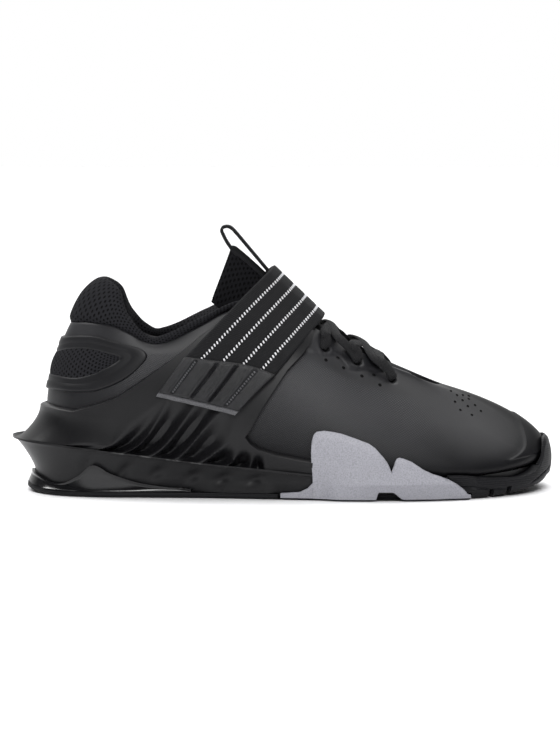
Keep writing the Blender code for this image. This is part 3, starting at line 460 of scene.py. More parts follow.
def skin(name, grid, finish, slot, nodes=(), wrap_rows=False, wrap_columns=False, caps=False, marks=None):
    """A piece from a grid of points, with UVs in metres; `caps` closes the first and last row."""
    rows, columns = grid.shape[:2]
    row = np.arange(rows if wrap_rows else rows - 1)
    spot = np.arange(columns if wrap_columns else columns - 1)
    row, spot = (axis.ravel() for axis in np.meshgrid(row, spot, indexing="ij"))
    corners = [(row, spot), (row, spot + 1), (row + 1, spot + 1), (row + 1, spot)]
    faces = np.stack([(r % rows) * columns + c % columns for r, c in corners], axis=1)
    wide = np.concatenate([grid, grid[:1]]) if wrap_rows else grid
    wide = np.concatenate([wide, wide[:, :1]], axis=1) if wrap_columns else wide
    level = np.broadcast_to(lengths(wide, 1).mean(axis=0), wide.shape[:2])
    run = np.broadcast_to(lengths(wide, 0).mean(axis=1)[:, None], wide.shape[:2])
    uv = np.stack([level, run], axis=-1)
    places = np.stack([uv[r, c] for r, c in corners], axis=1)
    points = grid.reshape(-1, 3)
    if caps:
        near = np.arange((columns - 1) // 2)
        far = columns - 1 - near
        for first in (0, (rows - 1) * columns):
            ends = np.stack([first + near, first + near + 1, first + far - 1, first + far], axis=1)
            if first:
                ends = ends[:, ::-1]
            faces = np.concatenate([faces, ends[:, ::-1]])
            flat = points[ends[:, ::-1]][..., [0, 2]]
            places = np.concatenate([places, flat])
    across = np.cross(points[faces[:, 2]] - points[faces[:, 0]], points[faces[:, 3]] - points[faces[:, 1]])
    if (points[faces].mean(axis=1) * across).sum() < 0:
        faces, places = faces[:, ::-1], places[:, ::-1]
    mesh = bpy.data.meshes.new(name)
    mesh.from_pydata(points.tolist(), [], faces.tolist())
    layer = mesh.uv_layers.new(name="metres")
    layer.data.foreach_set("uv", places.reshape(-1).astype(np.float32))
    for key, values in (marks or {}).items():
        mark = mesh.attributes.new(key, "FLOAT", "POINT")
        spread = np.broadcast_to(values, (rows, columns)).reshape(-1)
        mark.data.foreach_set("value", spread.astype(np.float32))
    return place(name, mesh, finish, slot, nodes)


def place(name, mesh, finish, slot, nodes=()):
    mesh.materials.append(finish)
    mesh.shade_smooth()
    mesh.set_sharp_from_angle(angle=math.radians(50))
    made = bpy.data.objects.new(name, mesh)
    bpy.context.scene.collection.objects.link(made)
    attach(made, "root")
    if nodes:
        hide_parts(*nodes)
    return made


def merged(name, parts, finish, slot, nodes=()):
    """One piece from several small closed forms, each (points, faces)."""
    points, faces, first = [], [], 0
    for some_points, some_faces in parts:
        points.append(some_points)
        faces += [[first + k for k in face] for face in some_faces]
        first += len(some_points)
    mesh = bpy.data.meshes.new(name)
    mesh.from_pydata(np.concatenate(points).tolist(), [], faces)
    return place(name, mesh, finish, slot, nodes)


def rounded(width, wall, corner, count=5):
    """Section of a flat strip with round edges: points (across, out), once round."""
    radius = min(corner, wall / 2)
    turns = np.linspace(0, math.pi / 2, count)
    points = []
    for sx, sz, start in ((1, 1, 0), (-1, 1, math.pi / 2), (-1, -1, math.pi), (1, -1, 1.5 * math.pi)):
        for turn in turns:
            points.append((sx * (width / 2 - radius) + radius * math.cos(start + turn),
                           sz * (wall / 2 - radius) + radius * math.sin(start + turn)))
    return np.array(points)


def strip(path, side, normal, width, wall, corner, across=24):
    """Grid of a flat strip along a path: sections with round edges and `across` points over its face."""
    edge = rounded(width, wall, corner)
    half = len(edge) // 4
    top = np.linspace(edge[half - 1], edge[half], across)[1:-1]
    low = np.linspace(edge[3 * half - 1], edge[3 * half], across)[1:-1]
    section = np.concatenate([edge[:half], top, edge[half:3 * half], low, edge[3 * half:]])
    return path[:, None] + side[:, None] * section[None, :, :1] + normal[:, None] * section[None, :, 1:]


def around_shoe(spans):
    """Stations from the heel round to the heel: spans of (end station, steps), mirrored."""
    lateral, start = [0.0], 0.0
    for end, steps in spans:
        lateral += list(np.linspace(start, end, steps + 1)[1:])
        start = end
    return np.array(lateral + [ROUND - s for s in reversed(lateral[1:-1])])


def away_from(points, line):
    """Distance of each point from a polyline."""
    line = np.asarray(line, float)
    best = np.full(points.shape[:-1], np.inf)
    for start, end in zip(line[:-1], line[1:]):
        reach = end - start
        part = np.clip(((points - start) @ reach) / max(reach @ reach, 1e-12), 0, 1)
        gap = np.linalg.norm(points - start - part[..., None] * reach, axis=-1)
        best = np.minimum(best, gap)
    return best


def inside(station, share, outline):
    """Whether points lie in a polygon drawn in stations and shares."""
    outline = np.asarray(outline, float)
    found = np.zeros(station.shape, bool)
    for start, end in zip(outline, np.roll(outline, -1, axis=0)):
        spans = (start[1] > share) != (end[1] > share)
        rise = end[1] - start[1]
        rise = rise if abs(rise) > 1e-12 else 1e-12
        crossing = start[0] + (share - start[1]) / rise * (end[0] - start[0])
        found ^= spans & (station < crossing)
    return found


def drawn(points, count, closed=False):
    """A smooth curve of `count` points through a few; a closed one ends where it starts."""
    points = np.asarray(points, float)
    if not closed:
        return smooth(points, count)
    many = smooth(np.concatenate([points[-2:], points, points[:3]]), 32 * (len(points) + 4) + 1)
    loop = many[64:64 + 32 * len(points) + 1]
    return loop[np.linspace(0, len(loop) - 1, count).round().astype(int)]


# Relief of the upper: outlines in stations and shares, with the width of their edge and their height.
TOE_CAP = [
    (10.40, 0.275), (10.57, 0.305), (10.69, 0.328), (10.89, 0.395), (11.12, 0.532), (11.46, 0.628),
    (12.0, 0.69),
]
EYESTAY = [
    (6.40, 0.845), (7.00, 0.815), (7.17, 0.825), (7.28, 0.835), (7.42, 0.850), (7.61, 0.875),
    (7.76, 0.875), (7.82, 0.850), (7.86, 0.835), (8.05, 0.848), (8.25, 0.872), (8.45, 0.888),
    (8.60, 0.895), (8.74, 0.905), (8.90, 0.930), (9.05, 0.960), (9.20, 0.990),
]
PERFORATIONS = [
    (6.95, 0.810), (7.33, 0.810), (7.69, 0.868), (7.71, 0.820), (8.09, 0.820), (8.43, 0.858),
    (8.42, 0.802), (10.60, 0.910), (10.49, 0.870), (10.83, 0.880), (11.11, 0.875), (10.05, 0.802),
    (10.38, 0.825), (10.73, 0.843), (10.29, 0.775), (10.57, 0.787), (9.96, 0.738), (10.15, 0.705),
    (10.51, 0.738),
]

# Radius and height of a vent's rings: its foot in the wall, its lip, and its sunk middle.
VENT_RINGS = [(0.00100, -0.0006), (0.00105, 0.00005), (0.00090, 0.00014), (0.00074, 0.00004)]


def make_perforations(finish):
    """Small vent holes in the vamp and the toe, on both sides: shallow discs painted near black, as painted
    shade for each hole's depth.
    """
    parts = []
    turns = np.arange(12) * math.tau / 12
    for at, share in PERFORATIONS:
        for station in (at, ROUND - at):
            normal = upper_normal(station, share)
            lift = upper_relief(np.array([[station]]), np.array([[share]]))[0][0, 0]
            centre = on_upper(station, share, lift)
            side = unit(np.cross(normal, (0.0, 0.0, 1.0)))
            up = np.cross(side, normal)
            circle = side * np.cos(turns)[:, None] + up * np.sin(turns)[:, None]
            circle = circle * (0.8 if at > 9.5 else 1.0)
            rings = [centre + circle * size + normal * out for size, out in VENT_RINGS]
            faces = []
            for level in range(len(rings) - 1):
                for spot in range(12):
                    following = (spot + 1) % 12
                    low, high = 12 * level, 12 * level + 12
                    faces.append([low + spot, low + following, high + following, high + spot])
            last = 12 * (len(rings) - 1)
            faces.append(list(range(11, -1, -1)))
            faces.append([last + spot for spot in range(12)])
            parts.append((np.concatenate(rings), faces))
    merged("vent_holes", parts, finish, "upper_shell")


def make_upper(finish):
    """The shell: its printed weave, eyestay, eyelets and toe cap stand out of the outer face."""
    around = around_shoe([(6.5, 200), (12.0, 160)])
    top = collar_seam(around)
    share = np.linspace(0, 1, 88)[:, None] * top
    station = np.broadcast_to(around, share.shape)
    relief, marks = upper_relief(station, share)
    outer = on_upper(station, share, relief)
    roll = []
    for turn in (0.25, 0.5, 0.75):
        lift = math.sin(turn * math.pi) * 0.0007
        rim = on_upper(around, top, -WALL * turn)
        rim[:, 2] += lift
        roll.append(rim)
    depth = np.linspace(1, 0, 12)[:, None] * top
    inner = on_upper(np.broadcast_to(around, depth.shape), depth, np.full(depth.shape, -WALL))
    grid = np.concatenate([outer, np.array(roll), inner])
    extra = len(grid) - len(outer)
    marks = {key: np.concatenate([value, np.repeat(value[-1:], extra, axis=0)])
             for key, value in marks.items()}
    skin("upper_shell", grid, finish, "upper_shell", ("upper",), True, True, marks=marks)


def upper_relief(station, share):
    """Height over the upper's face, and the marks that its material reads."""
    lateral = folded(station)
    points = upper_at(lateral, share)
    relief = np.zeros(station.shape)
    line = drawn(TOE_CAP, 60)
    gap = away_from(points, upper_at(line[:, 0], line[:, 1]))
    cap = (lateral > np.interp(share, line[:, 1], line[:, 0])) & (share > line[0, 1])
    relief += np.where(cap, 0.0006 * ease(gap / 0.0010), 0)
    relief += 0.00015 * np.exp(-(gap / 0.0011) ** 2)
    stay = drawn(EYESTAY, 120)
    gap = away_from(points, upper_at(stay[:, 0], stay[:, 1]))
    outline = np.concatenate([stay, [(9.20, 1.2), (6.0, 1.2), (6.0, 0.845)]])
    on_stay = inside(lateral, share, outline)
    relief += np.where(on_stay, 0.0005 * ease(gap / 0.0009), 0)
    relief -= 0.0002 * np.exp(-((gap - 0.0004) / 0.0006) ** 2) * ~on_stay
    # The mark made below is 1 in each eyelet's hole; the shell's material paints it near black, as painted
    # shade for the hole's depth.
    painted_hole_shade = np.zeros(station.shape)
    for at, up in EYELETS.values():
        gap = np.linalg.norm(points - upper_at(np.array(at), np.array(up)), axis=-1)
        relief += 0.0002 * np.exp(-((gap - 0.0040) / 0.0009) ** 2) * (at < 8.8)
        relief -= 0.0016 * ease(1 - (gap - 0.0018) / 0.0012)
        painted_hole_shade = np.maximum(painted_hole_shade, ease(1 - (gap - 0.0022) / 0.0008))
    weave = ease((9.6 - lateral) / 1.2) * ease((0.80 - share) / 0.06) * ease((lateral - 2.5) / 1.0)
    weave = np.where(on_stay, 0, weave)
    return relief, {"weave": weave, "painted_hole_shade": painted_hole_shade, "up": share, "along": lateral}


def make_collar(finish):
    """The padded knit collar: a fat rolled edge outside, and the lining's pad inside."""
    lateral = np.linspace(-COLLAR_END, COLLAR_END, 361)
    lateral[[0, -1]] *= 0.991
    seam = collar_seam(lateral)
    span = 1.0 - seam
    inside_face = -WALL - LAP
    profile = np.array([
        (0.0, 0.0), (0.15, 0.0026), (0.65, 0.0034), (1.05, 0.0002), (1.05, -0.0055), (0.75, -0.0090),
        (-0.3, -0.0084), (-1.0, inside_face - 0.0012), (-1.0, inside_face), (0.0, inside_face),
    ])
    fine = np.concatenate([smooth(profile[:7], 56), smooth(profile[6:8], 16)[1:], profile[8:]])
    rows = []
    for row, station in enumerate(lateral):
        depth = column(PAD_DEPTH, 1, folded(station))
        shares = np.array([seam[row] + SEAM_GAP * (p[0] >= 0) + span[row] * p[0] for p in fine])
        outs = np.array([p[1] if p[1] > inside_face else inside_face + (p[1] - inside_face) * depth
                         for p in fine])
        rows.append(on_upper(np.full(len(fine), station), shares, outs))
    made = skin("collar_knit", np.array(rows), finish, "collar_mesh", ("collar",), False, True, True)


# Station on the crest, half width, depth share, reach up the side wall, and lean of each trough.
FLUTE_TROUGHS = [
    (2.10, 0.50, 0.35, 0.34, 2.4), (2.90, 0.40, 1.20, 0.56, 2.4), (3.60, 0.33, 1.35, 0.62, 1.8),
    (4.20, 0.28, 1.35, 0.66, 1.4), (4.72, 0.25, 1.30, 0.66, 1.0), (5.22, 0.23, 1.25, 0.64, 0.5),
    (5.64, 0.20, 1.20, 0.85, 0.2), (6.04, 0.15, 0.90, 0.95, -0.1),
]


def flutes(station, part):
    """Depth share of the flutes: rounded troughs with sharp ridges between, each with its own reach."""
    lateral = folded(station)
    total = np.zeros(np.broadcast(lateral, part).shape)
    for centre, width, depth, reach, slope in FLUTE_TROUGHS:
        middle = centre + slope * part * (1 - 0.5 * part / reach)
        lobe = 0.5 + 0.5 * np.cos(math.pi * np.clip((lateral - middle) / width, -1, 1))
        rise = ease(part / 0.10) * ease((reach - part) / (0.7 * reach))
        total = np.maximum(total, lobe * rise * depth)
    return total


# Station and part of the slanting dents under the crest, and their depth share.
DENTS = [(2.62, 0.66, 0.6), (3.50, 0.60, 0.9), (4.18, 0.58, 1.0), (4.86, 0.56, 1.0), (5.42, 0.54, 0.9),
         (6.0, 0.54, 0.8)]


def side_low(station, part):
    """The midsole's side under the crest, with its dents and a sharp lip on top."""
    base = lower_wall(station, part)
    lateral = folded(station)
    dent = np.zeros(lateral.shape)
    for centre, height, depth in DENTS:
        lobe = ((lateral - centre - 0.5 * (part - height)) / 0.13) ** 2 + ((part - height) / 0.22) ** 2
        dent = np.maximum(dent, depth * np.exp(-lobe))
    lip = np.exp(-((1 - part) / 0.05) ** 2) * 0.0007
    out = plan_normal(CREST, station)
    return base + out * (lip - 0.0017 * dent * rear_cover(station))[..., None]


HEEL_FADE = 1.75  # how fast the flare fades up the heel

RIM_EDGE = 0.0017  # the rim's thickness that shows at the heel


def side_wall(lateral, part):
    """The midsole's thickness over the upper, thinned towards its rim at the heel."""
    wall = RIM_WALL + (WING_WALL - RIM_WALL) * np.clip((lateral - 2.5) / 1.5, 0, 1)
    return wall - (wall - RIM_EDGE) * ease(part / 0.95) * ease((3.4 - lateral) / 1.2)


def side_high(station, part):
    """The midsole's side above the crest, with the true flutes."""
    station, part = np.broadcast_arrays(np.asarray(station, float), np.asarray(part, float))
    lateral = folded(station)
    at, share = rim_path(station, part)
    base = on_upper(at, share, lap(share) + side_wall(lateral, part) * np.clip(part / 0.25, 0, 1))
    start = ring(CREST, station) - upper_at(station, np.zeros_like(station))
    fade = (1 - part) ** (HEEL_FADE + (FLARE_FADE - HEEL_FADE) * ease((lateral - 1.0) / 2.4))
    dent = flutes(station, part) * FLUTE_DEPTH
    lip = np.exp(-(part / 0.02) ** 2) * 0.0007
    return base + start * fade[..., None] + plan_normal(CREST, station) * (lip - dent)[..., None]


def make_midsole(finish):
    around = around_shoe([(6.5, 300), (6.99, 20), (7.005, 1), (12.0, 60)])
    rear = rear_cover(around)[:, None] > 0
    outline, bed = plan_normal(FEATHER, around), ring(FEATHER, around)
    bed[:, 2] -= GAP
    foot = ring(SOLE, around)[:, 2] + OUTSOLE + GAP
    rows = []
    for part in np.linspace(0, 1, 30):
        core = core_foot(around, foot + (bed[:, 2] - foot) * part)
        rows.append(np.where(rear, side_low(around, np.full_like(around, part)), core))
    parts = np.concatenate([np.linspace(0.015, 0.3, 24), np.linspace(0.3, 1.0, 40)[1:]])
    for part in parts:
        core = bed + outline * LAP * (1 - part / 3)
        rows.append(np.where(rear, side_high(around, np.full_like(around, part)), core))
    at, share = rim_path(around, np.ones_like(around))
    wall = side_wall(folded(around), np.ones_like(around))
    for turn in (0.15, 0.4, 0.7, 0.95):
        rim = on_upper(at, share + 0.016 * turn**0.7, 0.0003 + (lap(share) + wall - 0.0003) * (1 - turn))
        rows.append(np.where(rear, rim, bed + outline * LAP * (0.64 - turn / 10)))
    for part in np.linspace(1.0, 0.04, 12):
        at, share = rim_path(around, np.full_like(around, part))
        inner = on_upper(at, share, 0.0003 + (lap(share) - 0.0003) * (1 - part))
        rows.append(np.where(rear, inner, bed + outline * LAP * (0.2 + part / 3)))
    rows.append(np.where(rear, beside_upper(around, bed[:, 2], LAP), bed + outline * LAP * 0.1))
    low = ladder_rows(rows[0], 3)
    high = ladder_rows(rows[-1], 3)
    grid = np.array(low[::-1] + rows + high)
    skin("midsole_foam", grid, finish, "midsole_foam", ("midsole",), False, True, True)


def ladder_rows(loop, count):
    """Loops drawn in towards the shoe's middle line, so that a closed end has even faces."""
    opposite = loop[(-np.arange(len(loop))) % len(loop)]
    middle = (loop + opposite) / 2
    return [loop + (middle - loop) * part for part in np.linspace(0, 0.96, count + 1)[1:]]


def make_heel_plate(finish):
    end = PLATE_TOP[-1][0]
    around = np.linspace(-end, end, 421)
    lateral = folded(around)
    crest = smooth(np.array(PLATE_TOP), 200)
    top = np.interp(lateral, crest[:, 0], crest[:, 1]) * COLLAR_HEIGHT
    foot = ring(SOLE, around)[:, 2] + OUTSOLE + GAP
    top = np.maximum(top, foot + 0.0010)
    outer, inner = [], []
    for part in np.linspace(0, 1, 26):
        share = plate_part(around, foot + (top - foot) * part)
        wall = lower_wall(around, share)
        normal = plan_normal(WAIST, around)
        power = 1.0 - 0.4 * ease((lateral - 1.0) / 1.5)
        low_wall = PLATE_FOOT * plate_cover(around)
        thick = low_wall + (PLATE_EDGE - low_wall) * part**power
        bead = 0.0005 * np.exp(-((1 - part) * (top - foot) / 0.0010) ** 2)
        inner.append(wall + normal * GAP)
        outer.append(wall + normal * (GAP + thick + bead)[:, None])
    grid = np.concatenate([outer, inner[::-1]])
    made = np.swapaxes(grid, 0, 1)
    skin("heel_plate_gloss", made, finish, "heel_plate", ("heel_plate",), False, True, True)


# The wrap's edge from the photo: station and height share, drawn finer than the solid's.
WRAP_EDGE = [
    (6.400, 0.0280), (6.780, 0.0360), (6.920, 0.0540), (7.012, 0.0800), (7.030, 0.1800), (7.035, 0.2500),
    (7.045, 0.2820), (7.060, 0.2980), (7.100, 0.3100), (7.200, 0.3145), (7.300, 0.3105), (7.440, 0.3020),
    (7.680, 0.2810), (7.920, 0.2580), (8.020, 0.2400), (8.100, 0.2180), (8.180, 0.1960), (8.240, 0.1760),
    (8.285, 0.1550), (8.315, 0.1320), (8.345, 0.1550), (8.365, 0.1800), (8.390, 0.1930), (8.430, 0.1960),
    (8.500, 0.1910), (8.620, 0.1780), (8.820, 0.1420), (8.950, 0.1240), (9.080, 0.1110), (9.200, 0.0940),
    (9.320, 0.0740), (9.440, 0.0480), (9.540, 0.0140),
]

WRAP_LEAN = 0.10  # stations that its rear edge leans back
NOTCH = (8.04, 8.48)  # stations of the gap at the floor
NOTCH_HEIGHT = 0.0042
LEDGE = 0.0028  # how far the wrap's side slopes out above its upright foot
LEDGE_FOOT = 0.0092


def make_wraps(finish):
    """The pale sidewalls of the forefoot, with a ledge above the floor and round edges, and painted shade
    below the ledge towards the front.
    """
    span = np.concatenate([
        np.linspace(6.45, 7.0, 40), np.linspace(7.012, 7.10, 18), np.linspace(7.12, 8.15, 70),
        np.linspace(8.16, 8.46, 30), np.linspace(8.48, 9.55, 60),
    ])
    for name, at in (("wrap_lateral", span), ("wrap_medial", ROUND - span)):
        lateral = folded(at)
        behind = (lateral < 7.015)[:, None]
        notch = np.minimum(ease((lateral - NOTCH[0]) / 0.05), ease((NOTCH[1] - lateral) / 0.19))
        foot = 0.0010 + NOTCH_HEIGHT * notch
        top = np.maximum(column(WRAP_EDGE, 1, lateral) * COLLAR_HEIGHT, 0.0030)
        outer, inner, steps = [], [], []
        for part in np.concatenate([np.linspace(0, 0.94, 30), [0.97, 0.99, 1.0]]):
            height = foot + (top - foot) * part
            lean = WRAP_LEAN * ease((7.5 - lateral) / 0.5) * ease((height / COLLAR_HEIGHT - 0.06) / 0.20)
            spot = unfolded(at, np.where(behind[:, 0], lateral, lateral - lean))
            side = lower_wall(spot, plate_part(spot, height))
            side[:, 2] = height
            normal = plan_normal(SOLE, spot)
            edge = 0.0009 * ease((part - 0.9) / 0.1) ** 2
            slope = np.clip((0.024 - height) / (0.024 - LEDGE_FOOT), 0, 1) ** 2
            steps.append(normal * (LEDGE * slope * ease((lateral - 7.1) / 0.35) - edge)[:, None])
            outer.append(np.where(behind, side + normal * (WRAP_REAR - edge), wall_outer(spot, height)))
            inner.append(np.where(behind, side + normal * 0.6 * LAP, wall_inner(spot, height)))
        outer = np.array(outer)
        for _ in range(60):
            outer[1:-1] = (outer[:-2] + 2 * outer[1:-1] + outer[2:]) / 4
        outer = outer + np.where(behind, 0, np.array(steps))
        grid = np.concatenate([outer, inner[::-1]])
        node = name.replace("wrap", "forefoot_wrap")
        made = np.swapaxes(grid, 0, 1)
        # Painted shade below the ledge towards the front, where the ledge shades the wall: the grey material
        # darkens where this mark is 1.
        low = ease((0.0098 - made[..., 2]) / 0.0008) * ease((made[..., 0] - 0.030) / 0.025)
        skin(name, made, finish, "grey_rubber", (node,), False, True, True, marks={"low": low})


# The toe bumper's top edge, and the groove over the tread: station and height share.
BUMPER_EDGE = [
    (9.24, 0.1133), (9.50, 0.1105), (9.78, 0.1000), (10.16, 0.0910), (10.52, 0.0850), (10.78, 0.0934),
    (11.06, 0.1133), (11.26, 0.1511), (11.36, 0.1950), (11.54, 0.2330), (11.70, 0.2430), (12.0, 0.2450),
]
GROOVE = [(9.24, 0.056), (9.62, 0.0517), (9.94, 0.0410), (10.38, 0.0330), (10.80, 0.0457), (11.2, 0.080),
          (12.0, 0.130)]
SLOTS = (9.97, 10.33)  # stations of the bumper's slots
SLOT_DEPTH = 0.0030

HEEL_SPREAD = 0.0016  # how far the tread's edge spreads behind the heel


def make_outsole(finish):
    around = around_shoe([(6.40, 120), (6.43, 1), (6.99, 10), (7.005, 1), (9.235, 50), (9.24, 1),
                          (12.0, 230)])
    lateral = folded(around)
    sole, normal = ring(SOLE, around), plan_normal(SOLE, around)
    sole[:, 2] = np.maximum(sole[:, 2], 0.0)
    wrapped = ((lateral >= 6.42) & (lateral < 9.6))[:, None]
    toe = (lateral >= 9.2399)[:, None]
    recess = wall_inner(around, np.full_like(around, 0.0030)) - plan_normal(FEATHER, around) * 0.9 * LAP
    rear = lower_wall(around, np.zeros_like(around)) - normal * GAP
    recess = np.where((lateral < 7.0)[:, None], rear, recess)
    spread = HEEL_SPREAD * ease((1.7 - lateral) / 1.4)
    notch = sum(SLOT_DEPTH * ease((0.045 - np.abs(lateral - slot)) / 0.010) for slot in SLOTS)

    def level(inset, rise, keep=True):
        made = sole + normal * (spread * (1 - rise / OUTSOLE) - inset - notch)[:, None]
        made[:, 2] = sole[:, 2] + rise
        if not keep:
            made[:, :2] = np.where(wrapped, recess[:, :2], made[:, :2])
        return made

    rows = [level(0.0016, 0.0), level(0.0010, 0.0003), level(0.0006, 0.0007), level(0.0006, 0.00072, False)]
    rows.append(level(0.0, OUTSOLE * 0.75, False))
    edge = smooth(BUMPER_EDGE, 200)
    floor = sole[:, 2] + OUTSOLE
    top = np.where(toe[:, 0], np.interp(lateral, edge[:, 0], edge[:, 1]) * COLLAR_HEIGHT, floor)
    groove = column(GROOVE, 1, lateral) * COLLAR_HEIGHT
    outer_flat, inner_flat = level(0.0004, OUTSOLE, False), level(0.0042, OUTSOLE, False)
    inner_flat[:, :2] = np.where(wrapped, (recess - normal * 0.0002)[:, :2], inner_flat[:, :2])
    stages = np.array([wall_outer(around, floor + (top - floor) * part) for part in (0, 0.5, 1)])
    tip = np.flatnonzero(lateral > 10.3)
    for _ in range(300):
        stages[:, tip] = (stages[:, tip - 1] + 2 * stages[:, tip] + stages[:, tip + 1]) / 4
    for part in np.linspace(0.02, 1.0, 60):
        height = floor + (top - floor) * part
        side = stages[0] * (1 - part) * (1 - 2 * part) + stages[1] * 4 * part * (1 - part)
        side = side + stages[2] * part * (2 * part - 1)
        side[:, 2] = height
        dent = 0.0006 * np.exp(-((height - groove) / 0.0005) ** 2) + 0.0009 * ease((part - 0.88) / 0.12) ** 2
        dent += notch * (height < floor + 0.0012)
        dent += 0.0007 * ease((9.70 - lateral) / 0.10)
        outer = side - normal * dent[:, None]
        rows.append(np.where(toe, outer, outer_flat - normal * 0.00012 * part))
    for part in (1.0, 0.68, 0.35, 0.0):
        height = floor + (top - floor) * part
        rows.append(np.where(toe, wall_inner(around, height), inner_flat - normal * 0.0002 * (1 - part)))
    grid = np.array(ladder_rows(rows[0], 3)[::-1] + rows + ladder_rows(rows[-1], 3))
    skin("outsole_rubber", grid, finish, "outsole_rubber", ("outsole",), False, True, True)


def make_insole(finish):
    around = around_shoe([(12.0, 100)])
    floor = ring(FEATHER, around)[:, 2] + 2 * GAP
    rows = []
    for inset, rise in ((0.0012, 0.0), (0.0, 0.12), (0.0, 0.85), (0.0004, 0.95), (0.0012, 1.0)):
        rows.append(beside_upper(around, floor + INSOLE * rise, -WALL - 1.5 * LAP - inset))
    grid = np.array(ladder_rows(rows[0], 2)[::-1] + rows + ladder_rows(rows[-1], 6))
    skin("insole_cloth", grid, finish, "insole_cloth", ("insole",), False, True, True)


def make_counter(finish, knit):
    """The moulded ring round the heel's window, in two steps, and the knit panel in the window."""
    table = np.array(COUNTER)
    half = smooth(table, 160)
    mirror = half[1:-1][::-1] * np.array([-1, 1, -1, 1])
    rows = np.concatenate([half, mirror])
    low, high = 0.0006, 0.0015
    section = [
        (0.0, 0.35 * low), (0.02, 0.8 * high), (0.06, high), (0.16, high), (0.45, 0.97 * high),
        (0.52, 0.72 * high), (0.58, 0.70 * high), (0.80, 0.78 * high), (0.90, 0.70 * high),
        (0.97, 0.4 * high), (1.0, 0.2 * high), (1.0, 0.1 * low), (0.5, 0.1 * low), (0.0, 0.1 * low),
    ]
    loops = []
    for part, out in section:
        at = rows[:, 0] + (rows[:, 2] - rows[:, 0]) * part
        share = rows[:, 1] + (rows[:, 3] - rows[:, 1]) * part
        loops.append(on_upper(at, share, np.full(len(rows), out)))
    grid = np.swapaxes(np.array(loops), 0, 1)
    # The fixed 0.34 share up the upper below is no real height: it sets how much of the shell's painted shade
    # and dimmed shine the ring gets.
    skin("counter_ring", grid, finish, "upper_shell", ("heel_counter",), True, True,
         marks={"up": np.full(grid.shape[:2], 0.34)})
    lateral = np.linspace(-3.02, 3.02, 201)
    edge = half[:, 2:]
    turn = int(np.argmax(edge[:, 0]))
    upper_edge = np.interp(np.abs(lateral), edge[:turn + 1, 0], edge[:turn + 1, 1])
    lower_edge = np.interp(np.abs(lateral), edge[turn:, 0][::-1], edge[turn:, 1][::-1])
    panel, back = [], []
    for part in np.linspace(0, 1, 40):
        share = lower_edge - 0.012 + (upper_edge - lower_edge + 0.024) * part
        crown = 0.0003 + 0.0013 * math.sin(part * math.pi) ** 0.6 * ease((3.02 - np.abs(lateral)) / 0.7)
        panel.append(on_upper(lateral, share, crown))
        back.append(on_upper(lateral, share, np.full_like(lateral, -0.0002)))
    grid = np.swapaxes(np.concatenate([panel, back[::-1]]), 0, 1)
    skin("heel_window", grid, knit, "collar_mesh", (), False, True, True)


PANEL_HALF = 0.32  # half of the webbing panel on the tongue's middle, as a share of its width
PANEL_LENGTH = 0.5


def make_tongue(finish, panel):
    """The padded tongue, and the smooth panel down its middle that carries the pull loop."""
    rows = smooth(TONGUE, 120)
    across = np.linspace(-1, 1, 61)
    front = tongue_at(rows, across)
    front[..., 2] += 0.0024 * np.exp(-((front[..., 0] - 0.044) / 0.009) ** 2)
    out = faces_out(front)
    spot = np.linspace(0, 1, len(rows))[:, None]
    edge = np.clip((1 - np.abs(across)) / 0.12, 0, 1)[None, :] * np.clip(spot / 0.02, 0, 1)
    puff = 1 - (1 - edge) ** 2
    thick = TONGUE_WALL * (1 - 0.55 * np.abs(across) ** 3)[None, :] * np.clip(0.4 + spot * 6, 0, 1)
    face = front - out * (thick * 0.5 * (1 - puff))[..., None]
    back = front - out * (thick * (0.5 + 0.5 * puff))[..., None]
    grid = np.concatenate([face, back[:, ::-1]], axis=1)
    made = skin("tongue_knit", grid, finish, "tongue_mesh", ("tongue",), False, True, True)
    middle = np.abs(across) <= PANEL_HALF
    length = int(len(rows) * PANEL_LENGTH)
    edge = np.clip((PANEL_HALF - np.abs(across[middle])) / 0.06, 0, 1)
    patch = face[:length, middle]
    away = out[:length, middle]
    top = patch + away * (0.0007 * edge)[None, :, None]
    low = patch - away * 0.0003
    grid = np.concatenate([top, low[:, ::-1]], axis=1)
    skin("tongue_panel", grid, panel, "webbing", (), False, True, True)


def middle_path(rows, count):
    path = smooth(np.array(rows), count)
    return np.stack([place_x(path[:, 0]), np.zeros(count), path[:, 1] * COLLAR_HEIGHT], axis=-1)


# The pull loop's path in the photo: along and rise.
LOOP_PATH = [
    (0.4035, 1.075), (0.3945, 1.106), (0.3850, 1.140), (0.3790, 1.168), (0.3757, 1.188), (0.3775, 1.202),
    (0.3839, 1.208), (0.3925, 1.204), (0.4020, 1.183), (0.4200, 1.132), (0.4430, 1.066), (0.4640, 1.006),
    (0.4720, 0.984),
]


def make_loop(finish):
    path = middle_path(LOOP_PATH, 120)
    along = unit(np.gradient(path, axis=0))
    side = np.broadcast_to([0.0, 1.0, 0.0], along.shape)
    normal = np.cross(along, side)
    grid = strip(path, side, normal, LOOP_WIDTH, 1.3 * LOOP_WALL, 0.0004)
    skin("pull_loop_webbing", grid, finish, "webbing", ("pull_loop",), False, True, True)


SMOOTHING = 900  # passes that take the kinks out of the strap's path
LOOK_DOWN = math.tan(math.radians(6.0))  # the slope along which the strap's lines run straight

DASH_LINES = (0.175, 0.395, 0.615, 0.835)
DASH_PITCH = 0.0021
DASH_LONG = 0.0020
DASH_WIDE = 0.0010
THREAD_LONG = 0.0026  # the tab's stitches
THREAD_WIDE = 0.0008
STITCH_HIGH = 0.0005


